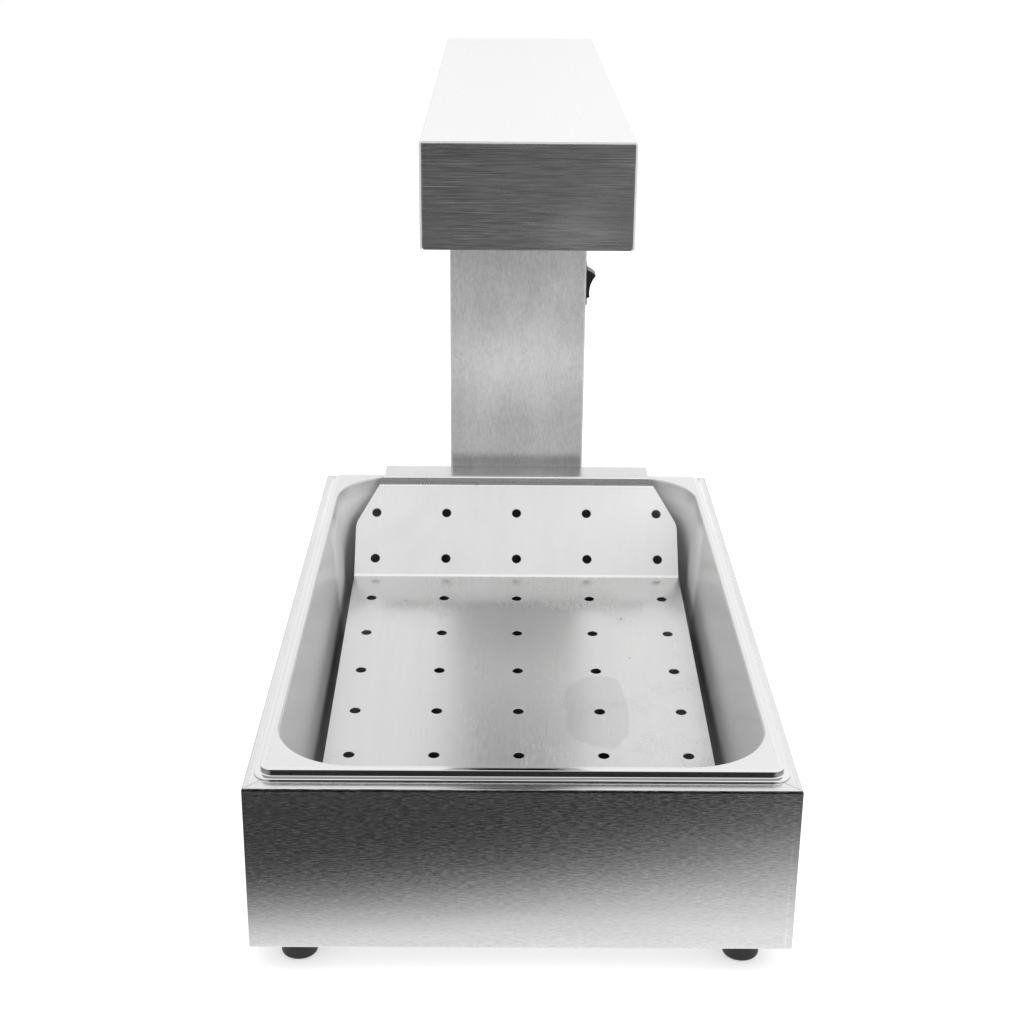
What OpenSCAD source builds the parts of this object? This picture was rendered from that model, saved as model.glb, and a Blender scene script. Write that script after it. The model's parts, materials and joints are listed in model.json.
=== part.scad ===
// Countertop fry warmer. A gastronorm pan with a perforated drain insert hangs in an
// open base, and a heated head reaches forward over it from a column behind the base.
// Millimetres, +Z up, the front faces -Y. The origin lies on the ground under the
// middle of the whole object.

/* [Pan] */
// Width over the pan's rim, gastronorm 1/1
pan_rim_w = 325; // [300:1:360]
// Length over the pan's rim, gastronorm 1/1
pan_rim_l = 530; // [500:1:600]
// Depth from the rim's flat top to the pan's bottom, inside
pan_depth = 100; // [90:1:130]
// Sheet thickness of the pan
pan_t = 0.8; // [0.6:0.1:1.2]
// Draft of the pan's walls from upright, in degrees
pan_draft = 4.5; // [3:0.5:6]
// Plan radius of the pan opening's corners
pan_corner_r = 50; // [40:1:60]
// Fillet between the pan's walls and its bottom, inside
pan_floor_r = 12; // [8:1:16]
// Rounding where the walls turn out into the rim
pan_lip_r = 1.6; // [1:0.1:2.4]
// Width of the rim's flat top
rim_flat_w = 6.3; // [5:0.1:9]
// Width of the lower ledge round the rim
rim_ledge_w = 4; // [3:0.1:6]
// Height of the rim's flat top above the base
rim_rise = 5.8; // [4.8:0.1:8]
// Height of the ledge above the base
ledge_rise = 1.4; // [1.2:0.1:3]
// Plan radius of the rim's outer corners
rim_corner_r = 12; // [9:1:20]

/* [Drain insert] */
// Sheet thickness of the insert
insert_t = 1; // [0.8:0.1:1.2]
// Inside radius of the insert's bends
insert_bend_r = 1; // [0.6:0.1:1.6]
// Gap between the insert's floor and the foot of the pan's walls
insert_side_gap = 5.9; // [4.5:0.1:8]
// Width of the hanging flange
flange_w = 229.5; // [200:0.5:250]
// Depth of the hanging flange, front to back
flange_d = 29; // [27:0.5:36]
// Height of the flange's top above the base
flange_rise = 10; // [9:0.1:14]
// Height of the upright face at the flange's front
flange_drop = 7.9; // [6:0.1:11]
// Length of the leaning back panel
panel_l = 84.3; // [76:0.1:90]
// Lean of the back panel from upright, in degrees
panel_lean = 42.6; // [38:0.1:48]
// Length of the tapered shoulders at the top of the back panel
shoulder_l = 36.6; // [28:0.1:45]
// Rounding where the shoulders meet the sides
shoulder_r = 16; // [6:1:24]
// Diameter of the drain holes
drain_hole_d = 8; // [5:0.5:12]
// Number of drain holes across
drain_cols = 5; // [3:1:7]
// Distance between the columns of drain holes
drain_col_pitch = 60.5; // [40:0.5:62]
// Distance from the back panel's top to its first row of holes
panel_row_start = 26; // [18:0.5:32]
// Distance between the rows of holes in the back panel
panel_row_pitch = 42; // [30:0.5:46]
// Distance from the floor's bend to its first row of holes
floor_row_start = 38.9; // [25:0.1:50]
// Distance between the rows of holes in the floor
floor_row_pitch = 59; // [45:0.1:60]
// Number of rows of holes in the floor
floor_rows = 7; // [4:1:7]

/* [Base] */
// Sheet thickness of the base
base_t = 1; // [0.8:0.1:1.5]
// Base left showing beside the pan's rim
side_margin = 5; // [4:0.5:12]
// Base left showing in front of and behind the pan's rim
end_margin = 9; // [8:0.5:14]
// Free height between the bottom plate and the pan
under_pan_gap = 15; // [12:1:40]
// Gap between the pan's body and the edge of the base's opening
well_gap = 1.5; // [1:0.1:3]
// Width of the flange turned in along the base's foot
foot_flange_w = 9; // [8:0.5:9.5]
// Height of the gap under the base, where the feet show
foot_h = 18; // [12:1:25]
// Diameter of the feet at the top
foot_d = 24; // [20:1:28]
// Distance of the feet's centres from the base's sides
foot_inset_x = 28; // [24:0.5:45]
// Distance of the feet's centres from the base's front and back
foot_inset_y = 24; // [24:0.5:45]

/* [Column] */
// Width of the column
column_w = 116; // [100:1:130]
// Depth of the column, front to back
column_d = 55; // [48:1:70]
// Sheet thickness of the column
column_t = 1.2; // [1:0.1:2]
// Outside radius of the column's bends
column_r = 2; // [2:0.1:3]
// Height of the column's foot above the base's lower edge
column_lift = 4; // [2:1:12]
// Height of the upper pair of bolts above the base's lower edge
bolt_high = 84; // [74:1:90]
// Height of the lower pair of bolts above the base's lower edge
bolt_low = 30; // [26:1:40]
// Distance between the bolts, side to side
bolt_spacing = 72; // [60:1:80]
// Height of the cable entry above the base's lower edge
entry_z = 40; // [34:1:60]
// Diameter of the cable entry's bore
entry_bore_d = 8; // [6:0.5:9]

/* [Head] */
// Clear height from the base's top to the head's underside
serving_gap = 311; // [280:1:380]
// Height of the head
head_h = 61; // [56:1:75]
// Distance of the head's front from the base's front
head_setback = 63; // [40:1:120]
// Sheet thickness of the head
head_t = 1.2; // [1:0.1:1.5]
// Gap between the column and the inside of the head
head_side_gap = 1.5; // [1.2:0.1:2.5]
// Width of the flanges turned in along the head's underside
head_flange_w = 14; // [13:0.5:17]
// Depth of the front cap's turned edges
cap_flange = 12; // [8:1:16]

/* [Heater] */
// Distance from the head's front to the reflector
reflector_front = 16; // [14:1:30]
// Distance from the column to the reflector
reflector_back = 48; // [44:1:60]
// Height of the reflector above the head's flanges
reflector_h = 33; // [30:1:38]
// Width of the reflector's flat top
reflector_top_w = 52; // [46:1:60]
// Diameter of the heating element
element_d = 8; // [6.5:0.5:8.5]
// Distance between the two legs of the element
element_pitch = 28; // [24:1:30]
// Height of the element above the head's underside
element_z = 20; // [18:0.5:22]
// Diameter of the guard's side rails
guard_rail_d = 3; // [2.5:0.5:3.5]
// Diameter of the guard's cross wires
guard_wire_d = 2.5; // [2:0.5:3]
// Distance between the guard's cross wires
guard_pitch = 25; // [18:1:40]

/* [Switch] */
// Height of the switch's centre above the base's top
switch_z = 169.5; // [100:0.5:220]
// Height of the switch's bezel
bezel_h = 35; // [33:0.5:38]
// Width of the switch's bezel
bezel_w = 24; // [23:0.5:28]
// Thickness of the switch's bezel
bezel_t = 1.6; // [1.2:0.1:2.2]
// Radius of the rocker's ends about its pivot
rocker_r = 12.7; // [12:0.1:13]
// Thickness of the rocker along its pivot
rocker_w = 16; // [14:0.5:16]
// Half of the angle between the rocker's two tips
rocker_tip_angle = 50; // [46:1:52]
// Travel of the rocker from off to on, in degrees
rocker_travel = 30; // [20:1:30]

/* [Hidden] */
$fn = 64;
eps = 0.02;

// Plane geometry of bent sheet
bend_steps = 6;
function unit(v) = v / norm(v);
function left(v) = [-v[1], v[0]];
function turn(d1, d2) = atan2(d1[0] * d2[1] - d1[1] * d2[0], d1 * d2);
// Points of the round corner at p between the directions d1 and d2
function fillet(p, d1, d2, r) =
    let (
        a = turn(d1, d2),
        s = sign(a),
        c = p - d1 * r * tan(abs(a) / 2) + left(d1) * s * r
    )
    [for (i = [0 : bend_steps]) let (b = a * i / bend_steps) c + s * r * (d1 * sin(b) - left(d1) * cos(b))];
// A path with its inner corners rounded: r_left where it turns left, r_right otherwise
function round_path(path, r_left, r_right) = [
    path[0],
    for (i = [1 : len(path) - 2])
        let (
            d1 = unit(path[i] - path[i - 1]),
            d2 = unit(path[i + 1] - path[i])
        )
        each fillet(path[i], d1, d2, turn(d1, d2) > 0 ? r_left : r_right),
    path[len(path) - 1]
];
// A path moved t to its left, corner by corner
function shift_path(path, t) = [
    for (i = [0 : len(path) - 1])
        let (
            before = left(unit(path[max(i, 1)] - path[max(i, 1) - 1])),
            after = left(unit(path[min(i + 1, len(path) - 1)] - path[min(i + 1, len(path) - 1) - 1]))
        )
        path[i] + t * (before + after) / (1 + before * after)
];
// Outline of a sheet t thick, bent along a path, with r inside its bends
function sheet_outline(path, r, t) =
    let (
        seen = round_path(path, r + t, r),
        hidden = round_path(shift_path(path, t), r, r + t)
    )
    concat(seen, [for (i = [len(hidden) - 1 : -1 : 0]) hidden[i]]);

// Clearances
seat_gap = 0.2;
screw_gap = 0.25;
rod_gap = 0.3;

// Heights from the ground up
base_low = foot_h;
plate_z = base_low + base_t;
pan_floor_z = plate_z + base_t + under_pan_gap + pan_t;
rim_top_z = pan_floor_z + pan_depth;
base_top = rim_top_z - rim_rise;
base_h = base_top - base_low;
head_z = base_top + serving_gap;
head_top = head_z + head_h;
column_low = base_low + column_lift;

// Plan sizes, counted back from the base's front face
base_w = pan_rim_w + 2 * side_margin;
base_d = pan_rim_l + 2 * end_margin;
base_mid = base_d / 2;
column_y = base_d;
column_back = column_y + column_d;
cover_t = 1;
cover_y = column_back - cover_t;
gland_hex_h = 5;
gland_dome_h = 12;
overall_d = column_back + gland_hex_h + gland_dome_h;

// Pan
rim_w = rim_flat_w + rim_ledge_w;
pan_open_w = pan_rim_w - 2 * rim_w;
pan_open_l = pan_rim_l - 2 * rim_w;
pan_arc_x = pan_open_w / 2 - pan_corner_r;
pan_arc_y = pan_open_l / 2 - pan_corner_r;
pan_foot_inset = pan_depth * tan(pan_draft);
floor_fillet_x = pan_floor_r * tan((90 - pan_draft) / 2);
step_corner_r = max(rim_corner_r - rim_ledge_w, 2);

// Height of the floor fillet above the pan's bottom, at a distance in from the wall's foot
function fillet_rise(d) = pan_floor_r - sqrt(pow(pan_floor_r, 2) - pow(max(floor_fillet_x - d, 0), 2));

// Base opening and its flanges
well_w = pan_open_w + 2 * (pan_t + well_gap);
well_l = pan_open_l + 2 * (pan_t + well_gap);
base_mid_z = base_low + base_h / 2;
base_bend_r = base_t + 0.6;
mitre_slit = 0.3;

// Insert
insert_w = pan_open_w - 2 * (pan_foot_inset + insert_side_gap);
insert_corner_r = pan_corner_r - pan_foot_inset - insert_side_gap;
insert_front = end_margin + rim_w + pan_foot_inset + insert_side_gap;
insert_back_gap = 0.8;
insert_back = column_y - insert_back_gap;
insert_front_z = pan_floor_z + fillet_rise(insert_side_gap) + seat_gap + insert_t;
flange_top = base_top + flange_rise;
lip_foot_z = flange_top - flange_drop;
lip_y = insert_back - flange_d;
bend_y = lip_y - panel_l * sin(panel_lean);
bend_z = lip_foot_z - panel_l * cos(panel_lean);
shoulder_rate = (insert_w - flange_w) / 2 / (flange_drop + shoulder_l);
// Half width of the insert at a distance along the sheet from the flange's front edge
function shoulder_half(s) = flange_w / 2 + shoulder_rate * s;
// The side that shows of the insert's sheet, from its back foot forwards, as [y, z]
insert_path = [
    [insert_back, base_top + seat_gap],
    [insert_back, flange_top],
    [lip_y, flange_top],
    [lip_y, lip_foot_z],
    [bend_y, bend_z],
    [insert_front, insert_front_z]
];

// Feet and fasteners
foot_top_z = plate_z;
foot_x = base_w / 2 - foot_inset_x;
foot_ys = [foot_inset_y, base_d - foot_inset_y];
foot_recess_d = 10.5;
foot_recess_h = foot_h - 5;
m3 = 3;
m4 = 4;
m5 = 5;
nut_h = 0.8;
plate_edge_gap = 0.8;
plate_screw_inset = (foot_flange_w + base_t) / 2 + 0.3;
plate_screws_y = [base_d * 0.25, base_d * 0.5, base_d * 0.75];
plate_screws_x = [-base_w * 0.2, base_w * 0.2];

// Column
column_top = head_top - head_t - seat_gap;
return_w = 13;
return_x = column_w / 2 - return_w / 2 - 0.5;
cover_low = column_low - cover_t;
cover_top = head_z - 0.5;
cover_screws_z = [column_low + 14, (column_low + head_z) / 2, head_z - 16];
cap_screws_z = [head_z + 16, head_top - 16];
head_bolts_z = [head_z + 18, head_top - 18];
head_bolts_y = column_y + column_d / 2;
window_w = 62;
window_h = 34;
window_z = head_z + element_z;
stud_l = 20;
block_z = base_top - 26;
block_w = 36;
block_h = 20;
block_d = 15;
block_stud_x = 14;
earth_inset = 18;
earth_x = column_w / 2 - earth_inset;
earth_z = block_z - 30;
earth_stud_l = 12;

// Head
head_w = column_w + 2 * (head_t + head_side_gap);
head_in = head_w / 2 - head_t;
head_r = 2;
head_front = head_setback;
head_l = column_back - head_front;
cap_recess = 0.4;

// Reflector, element and guard
reflector_t = 0.8;
reflector_y0 = head_front + reflector_front;
reflector_y1 = column_y - reflector_back;
reflector_z = head_z + head_t;
reflector_top = reflector_z + reflector_h;
mouth_x = head_in - head_flange_w - 2.6;
reflector_flange_x = head_in - 1;
element_x = element_pitch / 2;
element_bend_y = reflector_y0 + element_pitch / 2 + element_d / 2 + 10;
element_end_y = reflector_y1 + 6;
insulator_l = 10;
terminal_l = 10;
element_height = head_z + element_z;
bracket_inset = 90;
bracket_ys = [reflector_y0 + bracket_inset, reflector_y1 - bracket_inset];
bracket_w = element_pitch + element_d + 10;
bracket_foot_w = 16;
bracket_tab = 13;
guard_gap = 1.4;
guard_x = mouth_x - reflector_t - guard_gap - guard_rail_d / 2;
guard_z = head_z + guard_rail_d / 2;
guard_y0 = reflector_y0 + 8;
guard_y1 = reflector_y1 - 8;
guard_count = floor((guard_y1 - guard_y0 - 10) / guard_pitch) + 1;
guard_start = (guard_y0 + guard_y1 - (guard_count - 1) * guard_pitch) / 2;
clip_ys = [guard_y0 + 20, (guard_y0 + guard_y1) / 2, guard_y1 - 20];
clip_t = 1;
clip_w = 10;
clip_x = head_in - 6;

// Switch
switch_height = base_top + switch_z;
switch_y = column_y + column_d / 2;
switch_face = column_w / 2;
pivot_x = switch_face - 1.1;
pivot_d = 3;
pivot_gap = 0.05;
rocker_gap = 0.3;
rocker_hollow = 2.2;
rocker_back = 5;
well_h = 2 * (rocker_r + 0.35);
switch_wall = 1.4;
switch_body_h = well_h + 2 * switch_wall;
switch_body_w = rocker_w + 2 * (rocker_gap + switch_wall);
switch_depth = 21;
switch_cut_gap = 0.2;
blade_z = 8;
blade_l = 9;
tip_x = rocker_r * cos(rocker_tip_angle);
tip_z = rocker_r * sin(rocker_tip_angle);
hollow_r = (pow(tip_z, 2) + pow(rocker_hollow, 2)) / (2 * rocker_hollow);

// Internal leads, points chosen by hand from the pieces that they join
lead_d = 3;
blade_x = switch_face - switch_depth - blade_l;
block_top_z = block_z + block_h / 2;
supply_bend_z = block_top_z + 45;
neutral_bend_z = block_top_z + 60;
switched_bend_z = switch_height + 40;
cap_screw_l = 9;
lead_y = column_y + column_t + block_d / 2 + 1.5;
stud_end_y = element_end_y + insulator_l + terminal_l;
window_y = column_y + column_d / 2 - 6;
supply_lead = [
    [10, lead_y, block_top_z],
    [10, lead_y, block_top_z + 20],
    [20, switch_y, supply_bend_z],
    [20, switch_y, switch_height - blade_z],
    [blade_x, switch_y, switch_height - blade_z]
];
switched_lead = [
    [blade_x, switch_y, switch_height + blade_z],
    [element_x, switch_y, switch_height + blade_z],
    [element_x, window_y, switched_bend_z],
    [element_x, window_y, element_height],
    [element_x, stud_end_y, element_height]
];
neutral_lead = [
    [-10, lead_y, block_top_z],
    [-10, lead_y, block_top_z + 30],
    [-element_x, window_y, neutral_bend_z],
    [-element_x, window_y, element_height],
    [-element_x, stud_end_y, element_height]
];
earth_lead = [
    [0, lead_y, block_z - block_h / 2],
    [0, lead_y, block_z - block_h / 2 - 8],
    [earth_x - 8, lead_y, earth_z],
    [earth_x - 4.4, lead_y, earth_z]
];

// Colours
steel = [0.78, 0.78, 0.79];
pale_steel = [0.86, 0.86, 0.87];
mirror_steel = [0.9, 0.9, 0.92];
dark_sheath = [0.45, 0.43, 0.4];
zinc = [0.7, 0.71, 0.73];
rubber = [0.09, 0.09, 0.09];
black_plastic = [0.12, 0.12, 0.13];
ceramic = [0.92, 0.9, 0.86];
brass = [0.78, 0.62, 0.3];

// Shared shapes

// Moves a piece from the base's front face to the object's middle
module placed() {
    translate([0, -overall_d / 2, 0])
        children();
}

// Copies a piece to the left and right of the middle plane
module both_sides() {
    children();
    mirror([1, 0, 0])
        children();
}

// Flat rectangle with round corners, centred
module rounded_rect(w, l, r) {
    square([w - 2 * r, l], center = true);
    square([w, l - 2 * r], center = true);
    for (x = [-1, 1], y = [-1, 1])
        translate([x * (w / 2 - r), y * (l / 2 - r)])
            circle(r);
}

// Flat ring between two round-cornered rectangles, w wide at every side
module rounded_ring(outer_w, outer_l, outer_r, w) {
    difference() {
        rounded_rect(outer_w, outer_l, outer_r);
        rounded_rect(outer_w - 2 * w, outer_l - 2 * w, max(outer_r - w, 0.5));
    }
}

// Pan-head machine screw: head above the origin, shank down the -Z axis
module pan_screw(d, l) {
    head_d = 2 * d;
    head_h = 0.65 * d;
    difference() {
        union() {
            translate([0, 0, -l])
                cylinder(h = l + eps, d = d);
            cylinder(h = head_h * 0.55, d = head_d);
            translate([0, 0, head_h * 0.55])
                cylinder(h = head_h * 0.45, d1 = head_d, d2 = head_d * 0.72);
        }
        for (a = [0, 90])
            rotate([0, 0, a])
                translate([-head_d * 0.28, -d * 0.1, head_h * 0.45])
                    cube([head_d * 0.56, d * 0.2, head_h]);
    }
}

// Hexagon nut, standing on the origin, open for its screw
module hex_nut(d) {
    difference() {
        intersection() {
            cylinder(h = nut_h * d, d = 2 * d, $fn = 6);
            cylinder(h = nut_h * d, d1 = 1.95 * d, d2 = 1.85 * d);
        }
        translate([0, 0, -eps])
            cylinder(h = nut_h * d + 2 * eps, d = d + 2 * eps);
    }
}

// Round wire along a list of points, with slightly swollen balls at its bends
module wire(points, d) {
    ball_d = d * 1.15;
    for (i = [0 : len(points) - 2]) {
        v = points[i + 1] - points[i];
        run = norm(v);
        translate(points[i])
            rotate([0, acos(v[2] / run), atan2(v[1], v[0])])
                cylinder(h = run, d = d, $fn = 24);
    }
    for (i = [1 : len(points) - 2])
        translate(points[i])
            sphere(d = ball_d, $fn = 24);
}

// Base

// Block standing on the origin, its long edges rounded and mitred at the corners
module mitred_block(w, l, h, r) {
    intersection() {
        translate([-w / 2, 0, h / 2])
            rotate([90, 0, 90])
                linear_extrude(w)
                    rounded_rect(l, h, r);
        translate([0, l / 2, h / 2])
            rotate([90, 0, 0])
                linear_extrude(l)
                    rounded_rect(w, h, r);
    }
}

// Screw places along the foot flange, in plan
module at_plate_screws() {
    for (x = [-1, 1], y = plate_screws_y)
        translate([x * (base_w / 2 - plate_screw_inset), y, 0])
            children();
    for (x = plate_screws_x, y = [plate_screw_inset, base_d - plate_screw_inset])
        translate([x, y, 0])
            children();
}

// Bolt places on the base's back wall
module at_column_bolts() {
    for (x = [-1, 1], z = [bolt_low, bolt_high])
        translate([x * bolt_spacing / 2, column_y, base_low + z])
            children();
}

// Folded shell, open at the top for the pan and below for the bottom plate
module base_shell() {
    color(steel)
        placed()
            difference() {
                translate([0, base_mid, base_low])
                    mitred_block(base_w, base_d, base_h, base_bend_r);
                translate([0, base_mid, base_low + base_t])
                    mitred_block(
                        base_w - 2 * base_t, base_d - 2 * base_t,
                        base_h - 2 * base_t, base_bend_r - base_t
                    );
                translate([0, base_mid, base_mid_z])
                    linear_extrude(base_h)
                        square([well_w, well_l], center = true);
                translate([0, base_mid, base_low - 1])
                    linear_extrude(base_h / 2)
                        square([base_w - 2 * foot_flange_w, base_d - 2 * foot_flange_w], center = true);
                for (x = [-1, 1], y = [-1, 1])
                    translate([x * base_w / 2, base_mid + y * base_d / 2, base_top - base_t - 1])
                        rotate([0, 0, atan2(-y, -x)])
                            translate([2.5, -mitre_slit / 2, 0])
                                cube([30, mitre_slit, base_t + 2]);
                at_plate_screws()
                    translate([0, 0, base_low - 1])
                        cylinder(h = base_t + 2, d = m3 + 2 * screw_gap);
                at_column_bolts()
                    rotate([90, 0, 0])
                        translate([0, 0, -1])
                            cylinder(h = base_t + 2, d = m5 + 2 * screw_gap);
            }
}

module base_bottom_plate() {
    edge = base_t + plate_edge_gap;
    color(pale_steel)
        placed()
            difference() {
                translate([0, base_mid, plate_z])
                    linear_extrude(base_t)
                        square([base_w - 2 * edge, base_d - 2 * edge], center = true);
                at_plate_screws()
                    translate([0, 0, plate_z - 1])
                        cylinder(h = base_t + 2, d = m3 + 2 * eps);
                for (x = [-foot_x, foot_x], y = foot_ys)
                    translate([x, y, plate_z - 1])
                        cylinder(h = base_t + 2, d = m4 + 2 * screw_gap);
            }
}

module bottom_plate_screws() {
    color(zinc)
        placed()
            at_plate_screws()
                translate([0, 0, base_low])
                    rotate([180, 0, 0])
                        pan_screw(m3, 6);
}

// Rubber foot with a taper, a rounded tread edge and a deep recess for its screw
module foot(x, y) {
    edge_r = 2;
    taper = 0.6;
    tread = foot_d / 2 - taper;
    color(rubber)
        placed()
            translate([x, y, 0])
                rotate_extrude()
                    difference() {
                        union() {
                            polygon([
                                [0, 0], [tread - edge_r, 0], [tread - edge_r, edge_r],
                                [tread, edge_r], [foot_d / 2, foot_top_z - 1],
                                [foot_d / 2, foot_top_z], [0, foot_top_z]
                            ]);
                            translate([tread - edge_r, edge_r])
                                intersection() {
                                    circle(edge_r);
                                    translate([0, -edge_r])
                                        square(edge_r);
                                }
                        }
                        translate([-1, -1])
                            square([foot_recess_d / 2 + 1, foot_recess_h + 1]);
                        translate([-1, 0])
                            square([m4 / 2 + screw_gap + 1, foot_top_z + 1]);
                    }
}

module foot_front_left() {
    foot(-foot_x, foot_ys[0]);
}

module foot_front_right() {
    foot(foot_x, foot_ys[0]);
}

module foot_rear_left() {
    foot(-foot_x, foot_ys[1]);
}

module foot_rear_right() {
    foot(foot_x, foot_ys[1]);
}

module foot_screws() {
    color(zinc)
        placed()
            for (x = [-foot_x, foot_x], y = foot_ys)
                translate([x, y, foot_recess_h])
                    rotate([180, 0, 0])
                        pan_screw(m4, foot_top_z + base_t - foot_recess_h + 5);
}

module foot_nuts() {
    color(zinc)
        placed()
            for (x = [-foot_x, foot_x], y = foot_ys)
                translate([x, y, plate_z + base_t])
                    hex_nut(m4);
}

// Pan

// Filled section of the pan's body beside a corner arc: x runs outwards from the arc's
// centre, y up from the pan's bottom. skin is 0 for the inside and pan_t for the outside.
module tub_section(skin) {
    r = pan_floor_r + skin;
    centre_x = pan_corner_r - pan_foot_inset - floor_fillet_x;
    centre_y = pan_floor_r;
    wall_x = centre_x + r * cos(pan_draft);
    wall_y = centre_y - r * sin(pan_draft);
    top_y = pan_depth - pan_lip_r;
    top_x = wall_x + (top_y - wall_y) * tan(pan_draft);
    polygon([
        [0, -skin], [centre_x, -skin], [centre_x, centre_y],
        [wall_x, wall_y], [top_x, top_y], [0, top_y]
    ]);
    intersection() {
        translate([centre_x, centre_y])
            circle(r);
        translate([centre_x - eps, -skin - 1])
            square([r + 1, centre_y + skin + 1]);
    }
}

// Section of the pan's sheet: bottom, fillet, wall and the rounding into the rim
module pan_section() {
    roll_x = pan_corner_r + pan_lip_r;
    roll_y = pan_depth - pan_lip_r;
    difference() {
        tub_section(pan_t);
        tub_section(0);
        translate([-1, pan_depth - pan_lip_r - eps])
            square([pan_corner_r + 20, 20]);
    }
    intersection() {
        translate([roll_x, roll_y])
            difference() {
                circle(pan_lip_r);
                circle(pan_lip_r - pan_t);
            }
        translate([roll_x - pan_lip_r - 1, roll_y - eps])
            square([pan_lip_r + 1 + eps, pan_lip_r + 1]);
    }
    translate([roll_x - eps, pan_depth - pan_t])
        square([rim_flat_w - pan_lip_r - 1, pan_t]);
}

// Pan body: the section swept round four corner arcs and along the straights
module pan_body() {
    for (x = [0, 1], y = [0, 1])
        mirror([x, 0, 0])
            mirror([0, y, 0])
                translate([pan_arc_x, pan_arc_y, 0])
                    rotate_extrude(angle = 90)
                        pan_section();
    for (s = [0, 1]) {
        mirror([s, 0, 0])
            translate([pan_arc_x, pan_arc_y, 0])
                rotate([90, 0, 0])
                    linear_extrude(2 * pan_arc_y)
                        pan_section();
        mirror([0, s, 0])
            translate([-pan_arc_x, pan_arc_y, 0])
                rotate([90, 0, 90])
                    linear_extrude(2 * pan_arc_x)
                        pan_section();
    }
    translate([0, 0, -pan_t])
        linear_extrude(pan_t)
            square([2 * pan_arc_x, 2 * pan_arc_y], center = true);
}

// Stepped rim: flat top, step, ledge and a turned-down lip resting on the base
module pan_rim() {
    step_w = pan_rim_w - 2 * rim_ledge_w;
    step_l = pan_rim_l - 2 * rim_ledge_w;
    ledge_z = pan_depth - rim_rise + ledge_rise;
    lip_z = pan_depth - rim_rise + seat_gap;
    translate([0, 0, pan_depth - pan_t])
        linear_extrude(pan_t)
            difference() {
                rounded_rect(step_w, step_l, step_corner_r);
                rounded_rect(
                    pan_open_w + 2 * pan_lip_r, pan_open_l + 2 * pan_lip_r,
                    pan_corner_r + pan_lip_r
                );
            }
    translate([0, 0, ledge_z - pan_t])
        linear_extrude(rim_rise - ledge_rise + pan_t)
            rounded_ring(step_w, step_l, step_corner_r, pan_t);
    translate([0, 0, ledge_z - pan_t])
        linear_extrude(pan_t)
            rounded_ring(pan_rim_w, pan_rim_l, rim_corner_r, rim_ledge_w + pan_t / 2);
    translate([0, 0, lip_z])
        linear_extrude(ledge_z - lip_z)
            rounded_ring(pan_rim_w, pan_rim_l, rim_corner_r, pan_t);
}

module food_pan() {
    color(pale_steel)
        placed()
            translate([0, base_mid, pan_floor_z]) {
                pan_body();
                pan_rim();
            }
}

// Drain insert

// One row of drain holes through the sheet, at a distance s from p along the direction d
module drain_row(p, d, s) {
    for (i = [0 : drain_cols - 1])
        translate([(i - (drain_cols - 1) / 2) * drain_col_pitch, p[0] + d[0] * s, p[1] + d[1] * s])
            rotate([atan2(d[1], d[0]), 0, 0])
                cylinder(h = 6 * insert_t, d = drain_hole_d, center = true);
}

// What is cut from the blank's sides beside the lip and the shoulders, seen from the front
module shoulder_cut() {
    lip_half = shoulder_half(flange_drop);
    foot_z = lip_foot_z - shoulder_l * cos(panel_lean);
    lip_corner = [lip_half, lip_foot_z];
    side_corner = [insert_w / 2, foot_z];
    slant = unit(side_corner - lip_corner);
    polygon(concat(
        [[flange_w / 2, flange_top + 1], [flange_w / 2, flange_top], lip_corner],
        fillet(side_corner, slant, [0, -1], shoulder_r),
        [[insert_w / 2 + 5, foot_z - shoulder_r], [insert_w / 2 + 5, flange_top + 1]]
    ));
}

// What is cut from one front corner of the floor, in plan
module floor_corner_cut() {
    half = insert_w / 2;
    polygon(concat(
        fillet([half, insert_front], [0, -1], [-1, 0], insert_corner_r),
        [
            [half - insert_corner_r, insert_front - 5],
            [half + 5, insert_front - 5],
            [half + 5, insert_front + insert_corner_r]
        ]
    ));
}

module drain_insert() {
    seen = insert_path;
    panel_dir = unit(seen[4] - seen[3]);
    floor_dir = unit(seen[5] - seen[4]);
    color(pale_steel)
        placed()
            difference() {
                translate([-insert_w / 2, 0, 0])
                    rotate([90, 0, 90])
                        linear_extrude(insert_w)
                            polygon(sheet_outline(seen, insert_bend_r, insert_t));
                both_sides() {
                    translate([flange_w / 2, lip_y + insert_bend_r + insert_t, base_top - 1])
                        cube([insert_w / 2, flange_d + 5, flange_rise + 5]);
                    translate([0, lip_y + insert_bend_r + insert_t + 1, 0])
                        rotate([90, 0, 0])
                            linear_extrude(lip_y - bend_y + 2 * insert_bend_r)
                                shoulder_cut();
                    linear_extrude(bend_z)
                        floor_corner_cut();
                }
                for (i = [0, 1])
                    drain_row(seen[3], panel_dir, panel_row_start + i * panel_row_pitch);
                for (i = [0 : floor_rows - 1])
                    drain_row(seen[4], floor_dir, floor_row_start + i * floor_row_pitch);
            }
}

// Column

// Plan section of the column: front, sides and the two returns at the back
module channel_section() {
    depth = cover_y - column_y;
    gap = column_w - 2 * return_w;
    translate([0, column_y + depth / 2])
        difference() {
            rounded_ring(column_w, depth, column_r, column_t);
            translate([-gap / 2, 0])
                square([gap, depth]);
        }
}

// Places of the screws that hold the rear cover and the head's rear cap
module at_return_screws(heights) {
    for (x = [-return_x, return_x], z = heights)
        translate([x, cover_y, z])
            children();
}

// Places of the screws through the head's sides into the column
module at_head_bolts() {
    both_sides()
        for (z = head_bolts_z)
            translate([column_w / 2, head_bolts_y, z])
                children();
}

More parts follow.
